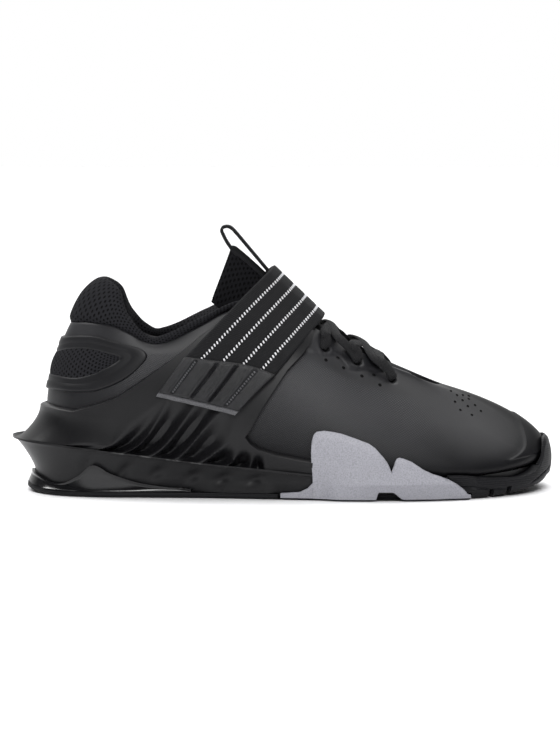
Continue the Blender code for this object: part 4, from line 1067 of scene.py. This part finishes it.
def make_strap(finish, dash):
    """The webbing strap with its rib lines, and the four pale dashed lines woven into it."""
    rows = smooth(strap_rows(), 400)
    spots = np.linspace(0, 1, 81)
    columns = rows.shape[1]
    inner = np.stack([[np.interp(spots, np.linspace(0, 1, columns), row[:, k]) for k in range(3)]
                      for row in rows])
    inner = np.moveaxis(inner, 1, 2)
    middle = inner[..., 1].mean(axis=1)
    for _ in range(SMOOTHING):
        inner[1:-1, :, 1] = (inner[:-2, :, 1] + inner[2:, :, 1]) / 2
    for sign in (-1, 1):
        near = ease((sign * middle - 0.006) / 0.012)[:, None, None]
        pull = near if sign < 0 else 0.4 * near
        spans = np.flatnonzero(near[:, 0, 0] >= 0.5)
        first, last = spans[0], spans[-1]
        edges = inner[:, [0, -1]].copy()
        edges[..., 2] += edges[..., 1] * LOOK_DOWN
        run = lengths(edges[first:last + 1], 0)
        share = (run / run[-1:])[..., None]
        start, end = edges[first:first + 1], edges[last:last + 1]
        edges[first:last + 1] = start + (end - start) * share
        chord = edges[:, :1] + (edges[:, 1:] - edges[:, :1]) * spots[None, :, None]
        chord[..., 2] -= inner[..., 1] * LOOK_DOWN
        straight = np.concatenate([chord[..., :1], inner[..., 1:2], chord[..., 2:]], axis=-1)
        inner = inner + (straight - inner) * pull
    out = -faces_out(inner)
    relief = np.zeros(len(spots))
    for centre in DASH_LINES:
        relief -= 0.0004 * np.exp(-((spots - centre) / 0.022) ** 2)
    edge = np.clip(np.minimum(spots, 1 - spots) / 0.02, 0, 1)
    puff = 1 - (1 - edge) ** 2
    face = inner + out * (STRAP_WALL * (0.5 + 0.5 * puff) + relief)[None, :, None]
    back = inner + out * (STRAP_WALL * 0.5 * (1 - puff))[None, :, None]
    grid = np.concatenate([face, back[:, ::-1]], axis=1)
    skin("strap_webbing", grid, finish, "webbing", ("strap",), False, True, True)
    parts = []
    for centre in DASH_LINES:
        line = np.array([[np.interp(centre, spots, row[:, k]) for k in range(3)] for row in face])
        up = np.array([[np.interp(centre, spots, row[:, k]) for k in range(3)] for row in out])
        run = lengths(line[None], 1)[0]
        for start in np.arange(0.001, run[-1] - 0.001, DASH_PITCH):
            centre_at = np.array([np.interp(start, run, line[:, k]) for k in range(3)])
            ahead = np.array([np.interp(start + 0.001, run, line[:, k]) for k in range(3)])
            normal = np.array([np.interp(start, run, up[:, k]) for k in range(3)])
            along = unit(ahead - centre_at)
            side = unit(np.cross(normal, along))
            parts.append(stitch(centre_at, side + 0.45 * along, along, unit(normal), DASH_LONG, DASH_WIDE,
                                STITCH_HIGH))
    merged("strap_dashes", parts, dash, "webbing")


def stitch(centre, along, side, normal, long, wide, high):
    """A small rounded stitch: a low dome, closed under the surface it lies on."""
    along = unit(along)
    side = unit(side - along * (side @ along))
    points, faces = [], []
    for size, rise in ((1.0, -0.3), (1.0, 0.25), (0.7, 0.8)):
        for turn in np.arange(8) * math.tau / 8:
            ahead, beside = math.cos(turn), math.sin(turn)
            ahead = abs(ahead) ** 0.5 * np.sign(ahead)
            beside = abs(beside) ** 0.7 * np.sign(beside)
            points.append(centre + along * ahead * size * long / 2 + side * beside * size * wide / 2
                          + normal * rise * high)
    for level in range(2):
        for spot in range(8):
            following = (spot + 1) % 8
            first = level * 8
            faces.append((first + spot, first + following, first + 8 + following, first + 8 + spot))
    faces.append(tuple(reversed(range(8))))
    faces.append(tuple(16 + k for k in range(8)))
    return np.array(points), [list(f) for f in faces]


TAB_BARS = (0.155, 0.405, 0.625, 0.83)
TAB_PUFF = 0.0013  # depth of the seams between the leather's bars
TAB_SAG_AT = (0.0, 0.155, 0.28, 0.405, 0.515, 0.625, 0.73, 0.83, 1.0)
TAB_SAG = (0.2, 0.0, 0.55, 0.0, 0.55, 0.0, 0.55, 0.0, 0.2)


def make_tab(finish, hook_finish, thread):
    """The ribbed leather end of the strap: four raised bars, the outer two stitched, on its pale backing."""
    (top_rear, top_front), (low_rear, low_front) = TAB
    reach, along = np.meshgrid(np.linspace(0.0, 1, 90), np.linspace(0, 1, 150), indexing="ij")
    top = top_rear[1] + (top_front[1] - top_rear[1]) * along
    low = low_rear[1] + (low_front[1] - low_rear[1]) * along
    under = strap_rest(top + (low - top) * reach)
    bars = np.full_like(along, 1.0)
    for centre in TAB_BARS:
        bars -= np.exp(-((along - centre) / 0.016) ** 2)
        bars += 0.45 * np.exp(-((along - centre + 0.035) / 0.022) ** 2)
    bars = TAB_PUFF * (bars - 1.0 + np.interp(along, TAB_SAG_AT, TAB_SAG))
    bars *= ease(reach / 0.10) * ease((1 - reach) / 0.10)
    beside, below = np.minimum(along, 1 - along), np.minimum(reach, 1 - reach)
    edge = np.clip(np.minimum(beside / 0.018, below / 0.030), 0, 1)
    puff = 1 - (1 - edge) ** 2
    face = on_tab(reach, along, under + STRAP_WALL + TAB_WALL * (0.25 + 0.45 * puff) + bars)
    back = on_tab(reach, along, under)
    grid = np.concatenate([face, back[:, ::-1]], axis=1)
    skin("tab_leather_face", grid, finish, "tab_leather", ("strap_tab",), False, True, True)
    parts = []
    for centre in (TAB_BARS[0], TAB_BARS[-1]):
        for start in np.linspace(0.10, 0.90, 15):
            spot = np.array([start]), np.array([centre])
            up = top_rear[1] + (top_front[1] - top_rear[1]) * centre
            down = low_rear[1] + (low_front[1] - low_rear[1]) * centre
            rest = strap_rest(np.array([up + (down - up) * start])) + STRAP_WALL + TAB_WALL * 0.7 - 0.0007
            here = on_tab(*spot, rest)[0]
            ahead = on_tab(spot[0] + 0.01, spot[1], rest)[0]
            beside = on_tab(spot[0], spot[1] + 0.01, rest)[0]
            line, side = unit(ahead - here), unit(beside - here)
            parts.append(stitch(here, side + 0.5 * line, line, unit(np.cross(side, line)), THREAD_LONG,
                                THREAD_WIDE, STITCH_HIGH))
    merged("tab_thread", parts, thread, "tab_leather")
    reach, along = np.meshgrid(np.linspace(1.0, 1.12, 14), np.linspace(0.0, 1.0, 120), indexing="ij")
    top = top_rear[1] + (top_front[1] - top_rear[1]) * along
    low = low_rear[1] + (low_front[1] - low_rear[1]) * along
    under = strap_rest(top + (low - top) * reach)
    drop = 0.0012 * ((reach - 1.0) / 0.12) ** 2 - 0.0005 * np.cos(along * 4 * math.tau) * (reach - 1.0) / 0.12
    face = on_tab(reach, along, under + STRAP_WALL * 0.8 - drop)
    back = on_tab(reach, along, under)
    grid = np.concatenate([face, back[:, ::-1]], axis=1)
    skin("hook_backing", grid, hook_finish, "hook_fastener", ("strap_hook",), False, True, True)


LACE_LIFT = (0.0002, 0.0018, 0.0002, 0.0012, 0.0004)


def lace_line(run, start, end):
    """A lace run's middle line and the way its face looks, as in the solids."""
    points, ups = [], []
    for (eyelet, sign), order in ((start, 1), (end, -1)):
        at, share = EYELETS[eyelet]
        other = EYELETS[(end if order > 0 else start)[0]][0]
        turn = np.clip(other - at, -1, 1)
        at += LACE_SHIFT * (run % 3 - 1)
        at, turn = (at, turn) if sign < 0 else (ROUND - at, -turn)
        legs = [on_upper(at + turn * aside, share + up, out) for aside, up, out in LACE_LEG]
        legs.insert(0, on_upper(at, share, -LACE_SINK))
        lean = [upper_normal(at + turn * aside, share + up) for aside, up, out in LACE_LEG]
        lean.insert(0, unit(upper_at(at, share - 0.05) - upper_at(at, share)))
        points += legs[::order]
        ups += lean[::order]
    middle = (points[3] + points[4]) / 2
    middle[2] = tongue_height(middle[0]) + LACE_RISE + LACE_LIFT[run]
    points.insert(4, middle)
    ups.insert(4, unit(np.array((0.45, 0.0, 0.9))))
    return np.array(points), np.array(ups)


def make_lace(finish):
    """Flat ribbed cord over the tongue, one strand over and one under at each crossing."""
    made = None
    for run, (start, end) in enumerate(LACE_RUNS):
        points, ups = lace_line(run, start, end)
        both = smooth(np.concatenate([points, ups], axis=1), 121)
        path, up = both[:, :3], both[:, 3:]
        along = unit(np.gradient(path, axis=0))
        up = unit(up - along * (up * along).sum(-1, keepdims=True))
        side = np.cross(along, up)
        spot = np.linspace(0, 1, len(path))
        full = ease(np.minimum(spot, 1 - spot) / 0.10)[:, None, None]
        section = rounded(1.0, 1.0, 0.5, 7)
        size = np.array([LACE_WIDTH, LACE_WALL * 0.8])
        small = np.array([LACE_END * 2.2, LACE_END])
        scaled = section[None] * (small + (size - small) * full)
        grid = path[:, None] + side[:, None] * scaled[..., :1] + up[:, None] * scaled[..., 1:]
        made = skin(f"lace_run_{run + 1}", grid, finish, "lace_cord", (), False, True, True)
    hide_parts("lace")


class Paint:
    """A material's nodes, made in short calls."""

    def __init__(self, name, colour, roughness, **sockets):
        self.made = bpy.data.materials.new(name)
        self.made.use_nodes = True
        self.nodes = self.made.node_tree.nodes
        self.links = self.made.node_tree.links
        self.shader = self.nodes["Principled BSDF"]
        self.shader.inputs["Base Color"].default_value = (*colour, 1.0)
        self.shader.inputs["Roughness"].default_value = roughness
        for key, value in sockets.items():
            self.shader.inputs[key.replace("_", " ")].default_value = value

    def node(self, kind, **settings):
        made = self.nodes.new("ShaderNode" + kind)
        for key, value in settings.items():
            if hasattr(made, key):
                setattr(made, key, value)
            else:
                made.inputs[key].default_value = value
        return made

    def link(self, source, target):
        self.links.new(source, target)

    def math(self, operation, first, second=0.0):
        made = self.node("Math", operation=operation)
        for socket, value in zip(made.inputs, (first, second)):
            if isinstance(value, (int, float)):
                socket.default_value = value
            else:
                self.link(value, socket)
        return made.outputs[0]

    def uv(self, scale=(1, 1)):
        place = self.node("UVMap", uv_map="metres")
        move = self.node("Mapping")
        move.inputs["Scale"].default_value = (*scale, 1)
        self.link(place.outputs[0], move.inputs["Vector"])
        return move.outputs[0]

    def body(self, scale=(1, 1, 1)):
        place = self.node("TexCoord")
        move = self.node("Mapping")
        move.inputs["Scale"].default_value = scale
        self.link(place.outputs["Object"], move.inputs["Vector"])
        return move.outputs[0]

    def split(self, vector):
        made = self.node("SeparateXYZ")
        self.link(vector, made.inputs[0])
        return made.outputs

    def mark(self, name):
        made = self.node("Attribute", attribute_name=name)
        return made.outputs["Fac"]

    def ramp(self, value, stops):
        made = self.node("ValToRGB")
        band = made.color_ramp
        while len(band.elements) < len(stops):
            band.elements.new(0.5)
        for element, (spot, level) in zip(band.elements, stops):
            element.position = spot
            colour = level if isinstance(level, tuple) else (level, level, level)
            element.color = (*colour, 1.0)
        self.link(value, made.inputs[0])
        return made.outputs[0]

    def mix(self, share, first, second):
        made = self.node("Mix", data_type="RGBA")
        for socket, value in ((made.inputs[0], share), (made.inputs[6], first), (made.inputs[7], second)):
            if isinstance(value, tuple):
                socket.default_value = (*value, 1.0)
            elif isinstance(value, (int, float)):
                socket.default_value = value
            else:
                self.link(value, socket)
        return made.outputs[2]

    def noise(self, vector, scale, detail=2.0):
        made = self.node("TexNoise", Scale=scale, Detail=detail)
        self.link(vector, made.inputs["Vector"])
        return made.outputs[0]

    def bump(self, height, distance, strength=1.0):
        made = self.node("Bump", Strength=strength, Distance=distance)
        self.link(height, made.inputs["Height"])
        before = self.shader.inputs["Normal"]
        if before.is_linked:
            self.link(before.links[0].from_socket, made.inputs["Normal"])
        self.link(made.outputs[0], before)

    def colour(self, source):
        self.link(source, self.shader.inputs["Base Color"])

    def shine(self, value):
        self.link(value, self.shader.inputs["Specular IOR Level"])

    def rough(self, source):
        self.link(source, self.shader.inputs["Roughness"])


def wave(paint, value, pitch):
    """A sine of a length in metres, from 0 to 1."""
    turned = paint.math("MULTIPLY", value, math.tau / pitch)
    half = paint.math("MULTIPLY", paint.math("SINE", turned), 0.5)
    return paint.math("ADD", half, 0.5)


def knit_holes(paint, pitch):
    """Rows of offset holes: 1 on the threads, 0 in the holes."""
    cells = paint.uv((1 / pitch, 1 / (0.86 * pitch)))
    across, up = paint.split(cells)[:2]
    row = paint.math("FLOOR", up)
    shift = paint.math("MULTIPLY", paint.math("MODULO", row, 2.0), 0.5)
    across = paint.math("ADD", across, shift)
    near = paint.math("SUBTRACT", paint.math("FRACT", across), 0.5)
    tall = paint.math("SUBTRACT", paint.math("FRACT", up), 0.5)
    gap = paint.math("ADD", paint.math("MULTIPLY", near, near), paint.math("MULTIPLY", tall, tall))
    return paint.ramp(gap, [(0.015, 0.0), (0.09, 1.0)])


def shell_paint():
    """Smooth moulded upper with a fine printed weave at the quarter, and painted shade low down and at the
    toe.
    """
    paint = Paint("shell_skin", (0.01, 0.01, 0.011), 0.45, Specular_IOR_Level=0.32)
    across, _, up = paint.split(paint.body())
    weave = wave(paint, paint.math("ADD", across, paint.math("MULTIPLY", up, 0.9)), 0.0013)
    cross = wave(paint, paint.math("SUBTRACT", paint.math("MULTIPLY", across, 0.5), up), 0.0012)
    dots = paint.math("MULTIPLY", weave, cross)
    dots = paint.math("MULTIPLY", dots, paint.mark("weave"))
    cloud = paint.noise(paint.body(), 38.0, 3.0)
    tone = paint.ramp(cloud, [(0.35, (0.009, 0.009, 0.0105)), (0.65, (0.013, 0.013, 0.015))])
    tone = paint.mix(dots, tone, (0.030, 0.030, 0.034))
    # Painted shade: darker and with less shine low down the upper and towards the toe, where the light falls
    # off.
    low = paint.ramp(paint.mark("up"), [(0.10, 0.85), (0.62, 0.0)])
    toe = paint.ramp(paint.math("DIVIDE", paint.mark("along"), 12.0), [(0.84, 0.0), (0.95, 0.8)])
    low = paint.math("MAXIMUM", low, toe)
    tone = paint.mix(low, tone, (0.002, 0.002, 0.0023))
    # Near black in the eyelets' holes: painted shade for their depth.
    tone = paint.mix(paint.mark("painted_hole_shade"), tone, (0.001, 0.001, 0.001))
    paint.colour(tone)
    paint.shine(paint.math("SUBTRACT", 0.34, paint.math("MULTIPLY", low, 0.30)))
    paint.bump(dots, 0.00012)
    paint.bump(paint.noise(paint.body(), 1800.0, 2.0), 0.00005, 0.6)
    paint.rough(paint.ramp(cloud, [(0.3, 0.42), (0.7, 0.50)]))
    return paint.made


def vent_paint():
    # Near black all over: painted shade that stands for the inside of each vent hole.
    paint = Paint("vent_painted_shade", (0.0015, 0.0015, 0.0016), 0.9, Specular_IOR_Level=0.1)
    grain = paint.noise(paint.body(), 3000.0, 2.0)
    paint.colour(paint.ramp(grain, [(0.3, (0.001, 0.001, 0.001)), (0.7, (0.002, 0.002, 0.002))]))
    return paint.made


def knit_paint(name, pitch, colour):
    paint = Paint(name, colour, 0.85, Specular_IOR_Level=0.06)
    thread = knit_holes(paint, pitch)
    # The holes are painted near black: painted shade for the depth of the mesh's holes.
    paint.colour(paint.mix(thread, (0.0015, 0.0015, 0.0016), colour))
    paint.bump(thread, 0.0009)
    paint.bump(paint.noise(paint.body(), 2600.0, 2.0), 0.00008, 0.5)
    return paint.made


def foam_paint():
    paint = Paint("foam_skin", (0.006, 0.006, 0.007), 0.40, Specular_IOR_Level=0.26)
    cloud = paint.noise(paint.body(), 30.0, 3.0)
    paint.colour(paint.ramp(cloud, [(0.35, (0.0035, 0.0035, 0.0042)), (0.7, (0.0055, 0.0053, 0.0062))]))
    paint.rough(paint.ramp(cloud, [(0.3, 0.38), (0.7, 0.48)]))
    paint.bump(paint.noise(paint.body(), 1500.0, 3.0), 0.00006, 0.5)
    return paint.made


def gloss_paint():
    paint = Paint("plate_gloss", (0.008, 0.008, 0.009), 0.16, Specular_IOR_Level=0.42)
    cloud = paint.noise(paint.body(), 60.0, 3.0)
    paint.colour(paint.ramp(cloud, [(0.3, (0.003, 0.003, 0.0035)), (0.7, (0.007, 0.007, 0.008))]))
    paint.rough(paint.ramp(cloud, [(0.3, 0.14), (0.7, 0.26)]))
    return paint.made


def grey_paint():
    paint = Paint("wrap_grey", (0.42, 0.42, 0.45), 0.5, Specular_IOR_Level=0.4)
    speck = paint.noise(paint.body(), 1400.0, 4.0)
    cloud = paint.noise(paint.body(), 45.0, 3.0)
    tones = [(0.32, (0.20, 0.20, 0.222)), (0.5, (0.27, 0.27, 0.30)), (0.72, (0.32, 0.32, 0.35))]
    base = paint.ramp(speck, tones)
    tone = paint.mix(paint.math("MULTIPLY", cloud, 0.35), base, (0.26, 0.26, 0.285))
    # Darker where the low mark is: painted shade under the wrap's ledge.
    paint.colour(paint.mix(paint.math("MULTIPLY", paint.mark("low"), 0.24), tone, (0.10, 0.10, 0.115)))
    paint.bump(speck, 0.00007, 0.6)
    paint.rough(paint.ramp(speck, [(0.3, 0.46), (0.7, 0.6)]))
    return paint.made


def rubber_paint():
    paint = Paint("sole_rubber", (0.012, 0.012, 0.013), 0.55, Specular_IOR_Level=0.16)
    lines = wave(paint, paint.split(paint.body())[2], 0.0012)
    grain = paint.noise(paint.body(), 1600.0, 3.0)
    paint.colour(paint.ramp(grain, [(0.3, (0.003, 0.003, 0.0038)), (0.7, (0.009, 0.009, 0.0105))]))
    paint.bump(lines, 0.00010)
    paint.bump(grain, 0.00008, 0.6)
    return paint.made


def webbing_paint():
    paint = Paint("webbing_black", (0.016, 0.016, 0.017), 0.8, Specular_IOR_Level=0.2)
    across, up = paint.split(paint.uv())[:2]
    ribs = wave(paint, up, 0.00095)
    cross = wave(paint, across, 0.0007)
    cloth = paint.math("MULTIPLY", ribs, cross)
    paint.colour(paint.mix(cloth, (0.003, 0.003, 0.0035), (0.014, 0.014, 0.016)))
    paint.bump(cloth, 0.00016)
    return paint.made


def dash_paint():
    paint = Paint("dash_thread", (0.62, 0.62, 0.64), 0.5, Specular_IOR_Level=0.5)
    grain = paint.noise(paint.body(), 3000.0, 2.0)
    paint.colour(paint.ramp(grain, [(0.3, (0.45, 0.45, 0.47)), (0.7, (0.74, 0.74, 0.76))]))
    paint.bump(grain, 0.00006, 0.5)
    return paint.made


def thread_paint():
    paint = Paint("tab_thread", (0.09, 0.09, 0.095), 0.6)
    grain = paint.noise(paint.body(), 3000.0, 2.0)
    paint.colour(paint.ramp(grain, [(0.3, (0.05, 0.05, 0.054)), (0.7, (0.11, 0.11, 0.118))]))
    paint.bump(grain, 0.00005, 0.5)
    return paint.made


def leather_paint():
    paint = Paint("tab_skin", (0.01, 0.01, 0.011), 0.42, Specular_IOR_Level=0.32)
    grain = paint.node("TexVoronoi", feature="DISTANCE_TO_EDGE", Scale=1500.0)
    paint.link(paint.body(), grain.inputs["Vector"])
    cells = paint.ramp(grain.outputs["Distance"], [(0.0, 0.0), (0.18, 1.0)])
    cloud = paint.noise(paint.body(), 120.0, 3.0)
    paint.colour(paint.ramp(cloud, [(0.3, (0.004, 0.004, 0.0048)), (0.7, (0.009, 0.009, 0.0105))]))
    paint.bump(cells, 0.00008, 0.8)
    paint.bump(cloud, 0.0004, 0.6)
    paint.rough(paint.ramp(cloud, [(0.3, 0.36), (0.7, 0.5)]))
    return paint.made


def lace_paint():
    paint = Paint("lace_black", (0.014, 0.014, 0.015), 0.8, Specular_IOR_Level=0.2)
    across, up = paint.split(paint.uv())[:2]
    left = wave(paint, paint.math("ADD", up, across), 0.0011)
    right = wave(paint, paint.math("SUBTRACT", up, across), 0.0011)
    braid = paint.math("MAXIMUM", left, right)
    paint.colour(paint.mix(braid, (0.002, 0.002, 0.0025), (0.012, 0.012, 0.013)))
    paint.bump(braid, 0.0003)
    return paint.made


def hook_paint():
    paint = Paint("hook_grey", (0.10, 0.10, 0.105), 0.7)
    grain = paint.noise(paint.body(), 2200.0, 3.0)
    paint.colour(paint.ramp(grain, [(0.3, (0.04, 0.04, 0.043)), (0.7, (0.10, 0.10, 0.107))]))
    paint.bump(grain, 0.0002, 0.8)
    return paint.made


def cloth_paint():
    paint = Paint("insole_knit", (0.02, 0.02, 0.022), 0.9, Sheen_Weight=0.2)
    across, up = paint.split(paint.body())[:2]
    cloth = paint.math("MULTIPLY", wave(paint, across, 0.0012), wave(paint, up, 0.0012))
    paint.colour(paint.mix(cloth, (0.012, 0.012, 0.013), (0.035, 0.035, 0.038)))
    paint.bump(cloth, 0.0002)
    return paint.made


HORIZON = 0.07  # height of the white band round the horizon, as a share of a look straight up
FRONT_LIGHT = 0.03
BACK_LIGHT = 1.0
SUN_LIGHT = 3.6
LIGHTS = [
    ("key", (0.05, -1.3, 1.05), (0.9, 0.5), 20.0),
    ("heel", (-1.2, 0.32, 1.3), (0.4, 0.4), 9.0),
]


def make_stage():
    """Pale floor and soft lights; the camera at the photo's angle is made in make_camera."""
    floor = bpy.data.meshes.new("floor")
    reach = 6.0
    floor.from_pydata([(-reach, -reach, 0), (reach, -reach, 0), (reach, reach, 0), (-reach, reach, 0)], [],
                      [(0, 1, 2, 3)])
    made = bpy.data.objects.new("floor", floor)
    bpy.context.scene.collection.objects.link(made)
    made.location.z = -0.0002
    paint = Paint("floor_white", (0.92, 0.92, 0.93), 0.7)
    grain = paint.noise(paint.body(), 4.0, 2.0)
    paint.colour(paint.ramp(grain, [(0.3, (0.91, 0.91, 0.92)), (0.7, (0.93, 0.93, 0.94))]))
    floor.materials.append(paint.made)
    world = bpy.data.worlds.new("studio")
    bpy.context.scene.world = world
    world.use_nodes = True
    nodes, links = world.node_tree.nodes, world.node_tree.links
    place = nodes.new("ShaderNodeTexCoord")
    parts = nodes.new("ShaderNodeSeparateXYZ")
    links.new(place.outputs["Generated"], parts.inputs[0])
    band = nodes.new("ShaderNodeValToRGB")
    front, back = band.color_ramp.elements
    front.position = 0.4
    front.color = (*[FRONT_LIGHT] * 3, 1)
    back.position = 0.85
    back.color = (*[BACK_LIGHT] * 3, 1)
    links.new(parts.outputs["Y"], band.inputs[0])
    horizon = nodes.new("ShaderNodeValToRGB")
    below, above = horizon.color_ramp.elements
    below.position = HORIZON
    below.color = (1, 1, 1, 1)
    above.position = HORIZON + 0.01
    above.color = (0, 0, 0, 1)
    links.new(parts.outputs["Z"], horizon.inputs[0])
    both = nodes.new("ShaderNodeMix")
    both.data_type = "RGBA"
    both.blend_type = "LIGHTEN"
    both.inputs[0].default_value = 1.0
    links.new(band.outputs[0], both.inputs[6])
    links.new(horizon.outputs[0], both.inputs[7])
    links.new(both.outputs[2], nodes["Background"].inputs["Color"])
    bpy.context.scene.view_settings.view_transform = "Standard"
    sun = bpy.data.lights.new("top", "SUN")
    sun.energy = SUN_LIGHT
    sun.angle = math.radians(75)
    made = bpy.data.objects.new("top", sun)
    bpy.context.scene.collection.objects.link(made)
    made.rotation_euler = (math.radians(-20), 0, 0)
    for name, spot, size, power in LIGHTS:
        lamp = bpy.data.lights.new(name, "AREA")
        lamp.shape = "RECTANGLE"
        lamp.size, lamp.size_y = size
        lamp.energy = power
        light = bpy.data.objects.new(name, lamp)
        bpy.context.scene.collection.objects.link(light)
        light.location = spot
        aim = Vector((0, 0, 0.05)) - Vector(spot)
        light.rotation_euler = aim.to_track_quat("-Z", "Y").to_euler()


def make_camera():
    target = Vector((-0.0029, 0.0, 0.0667))
    rise = math.radians(6)
    distance = 1.6
    camera = bpy.data.cameras.new("camera")
    camera.sensor_fit = "VERTICAL"
    camera.sensor_height = 36
    camera.lens = 36 * distance / (746 * 0.000575)
    made = bpy.data.objects.new("camera", camera)
    bpy.context.scene.collection.objects.link(made)
    made.location = target + distance * Vector((0, -math.cos(rise), math.sin(rise)))
    made.rotation_euler = (target - made.location).to_track_quat("-Z", "Y").to_euler()
    bpy.context.scene.camera = made


def main():
    shell = shell_paint()
    knit = knit_paint("knit_black", 0.0024, (0.014, 0.014, 0.016))
    webbing = webbing_paint()
    make_upper(shell)
    make_perforations(vent_paint())
    make_collar(knit)
    make_midsole(foam_paint())
    make_heel_plate(gloss_paint())
    make_wraps(grey_paint())
    make_outsole(rubber_paint())
    make_insole(cloth_paint())
    make_counter(shell, knit)
    make_tongue(knit_paint("knit_tongue", 0.0024, (0.006, 0.006, 0.007)), webbing)
    make_loop(webbing)
    make_strap(webbing, dash_paint())
    make_tab(leather_paint(), hook_paint(), thread_paint())
    make_lace(lace_paint())
    make_stage()
    make_camera()


main()
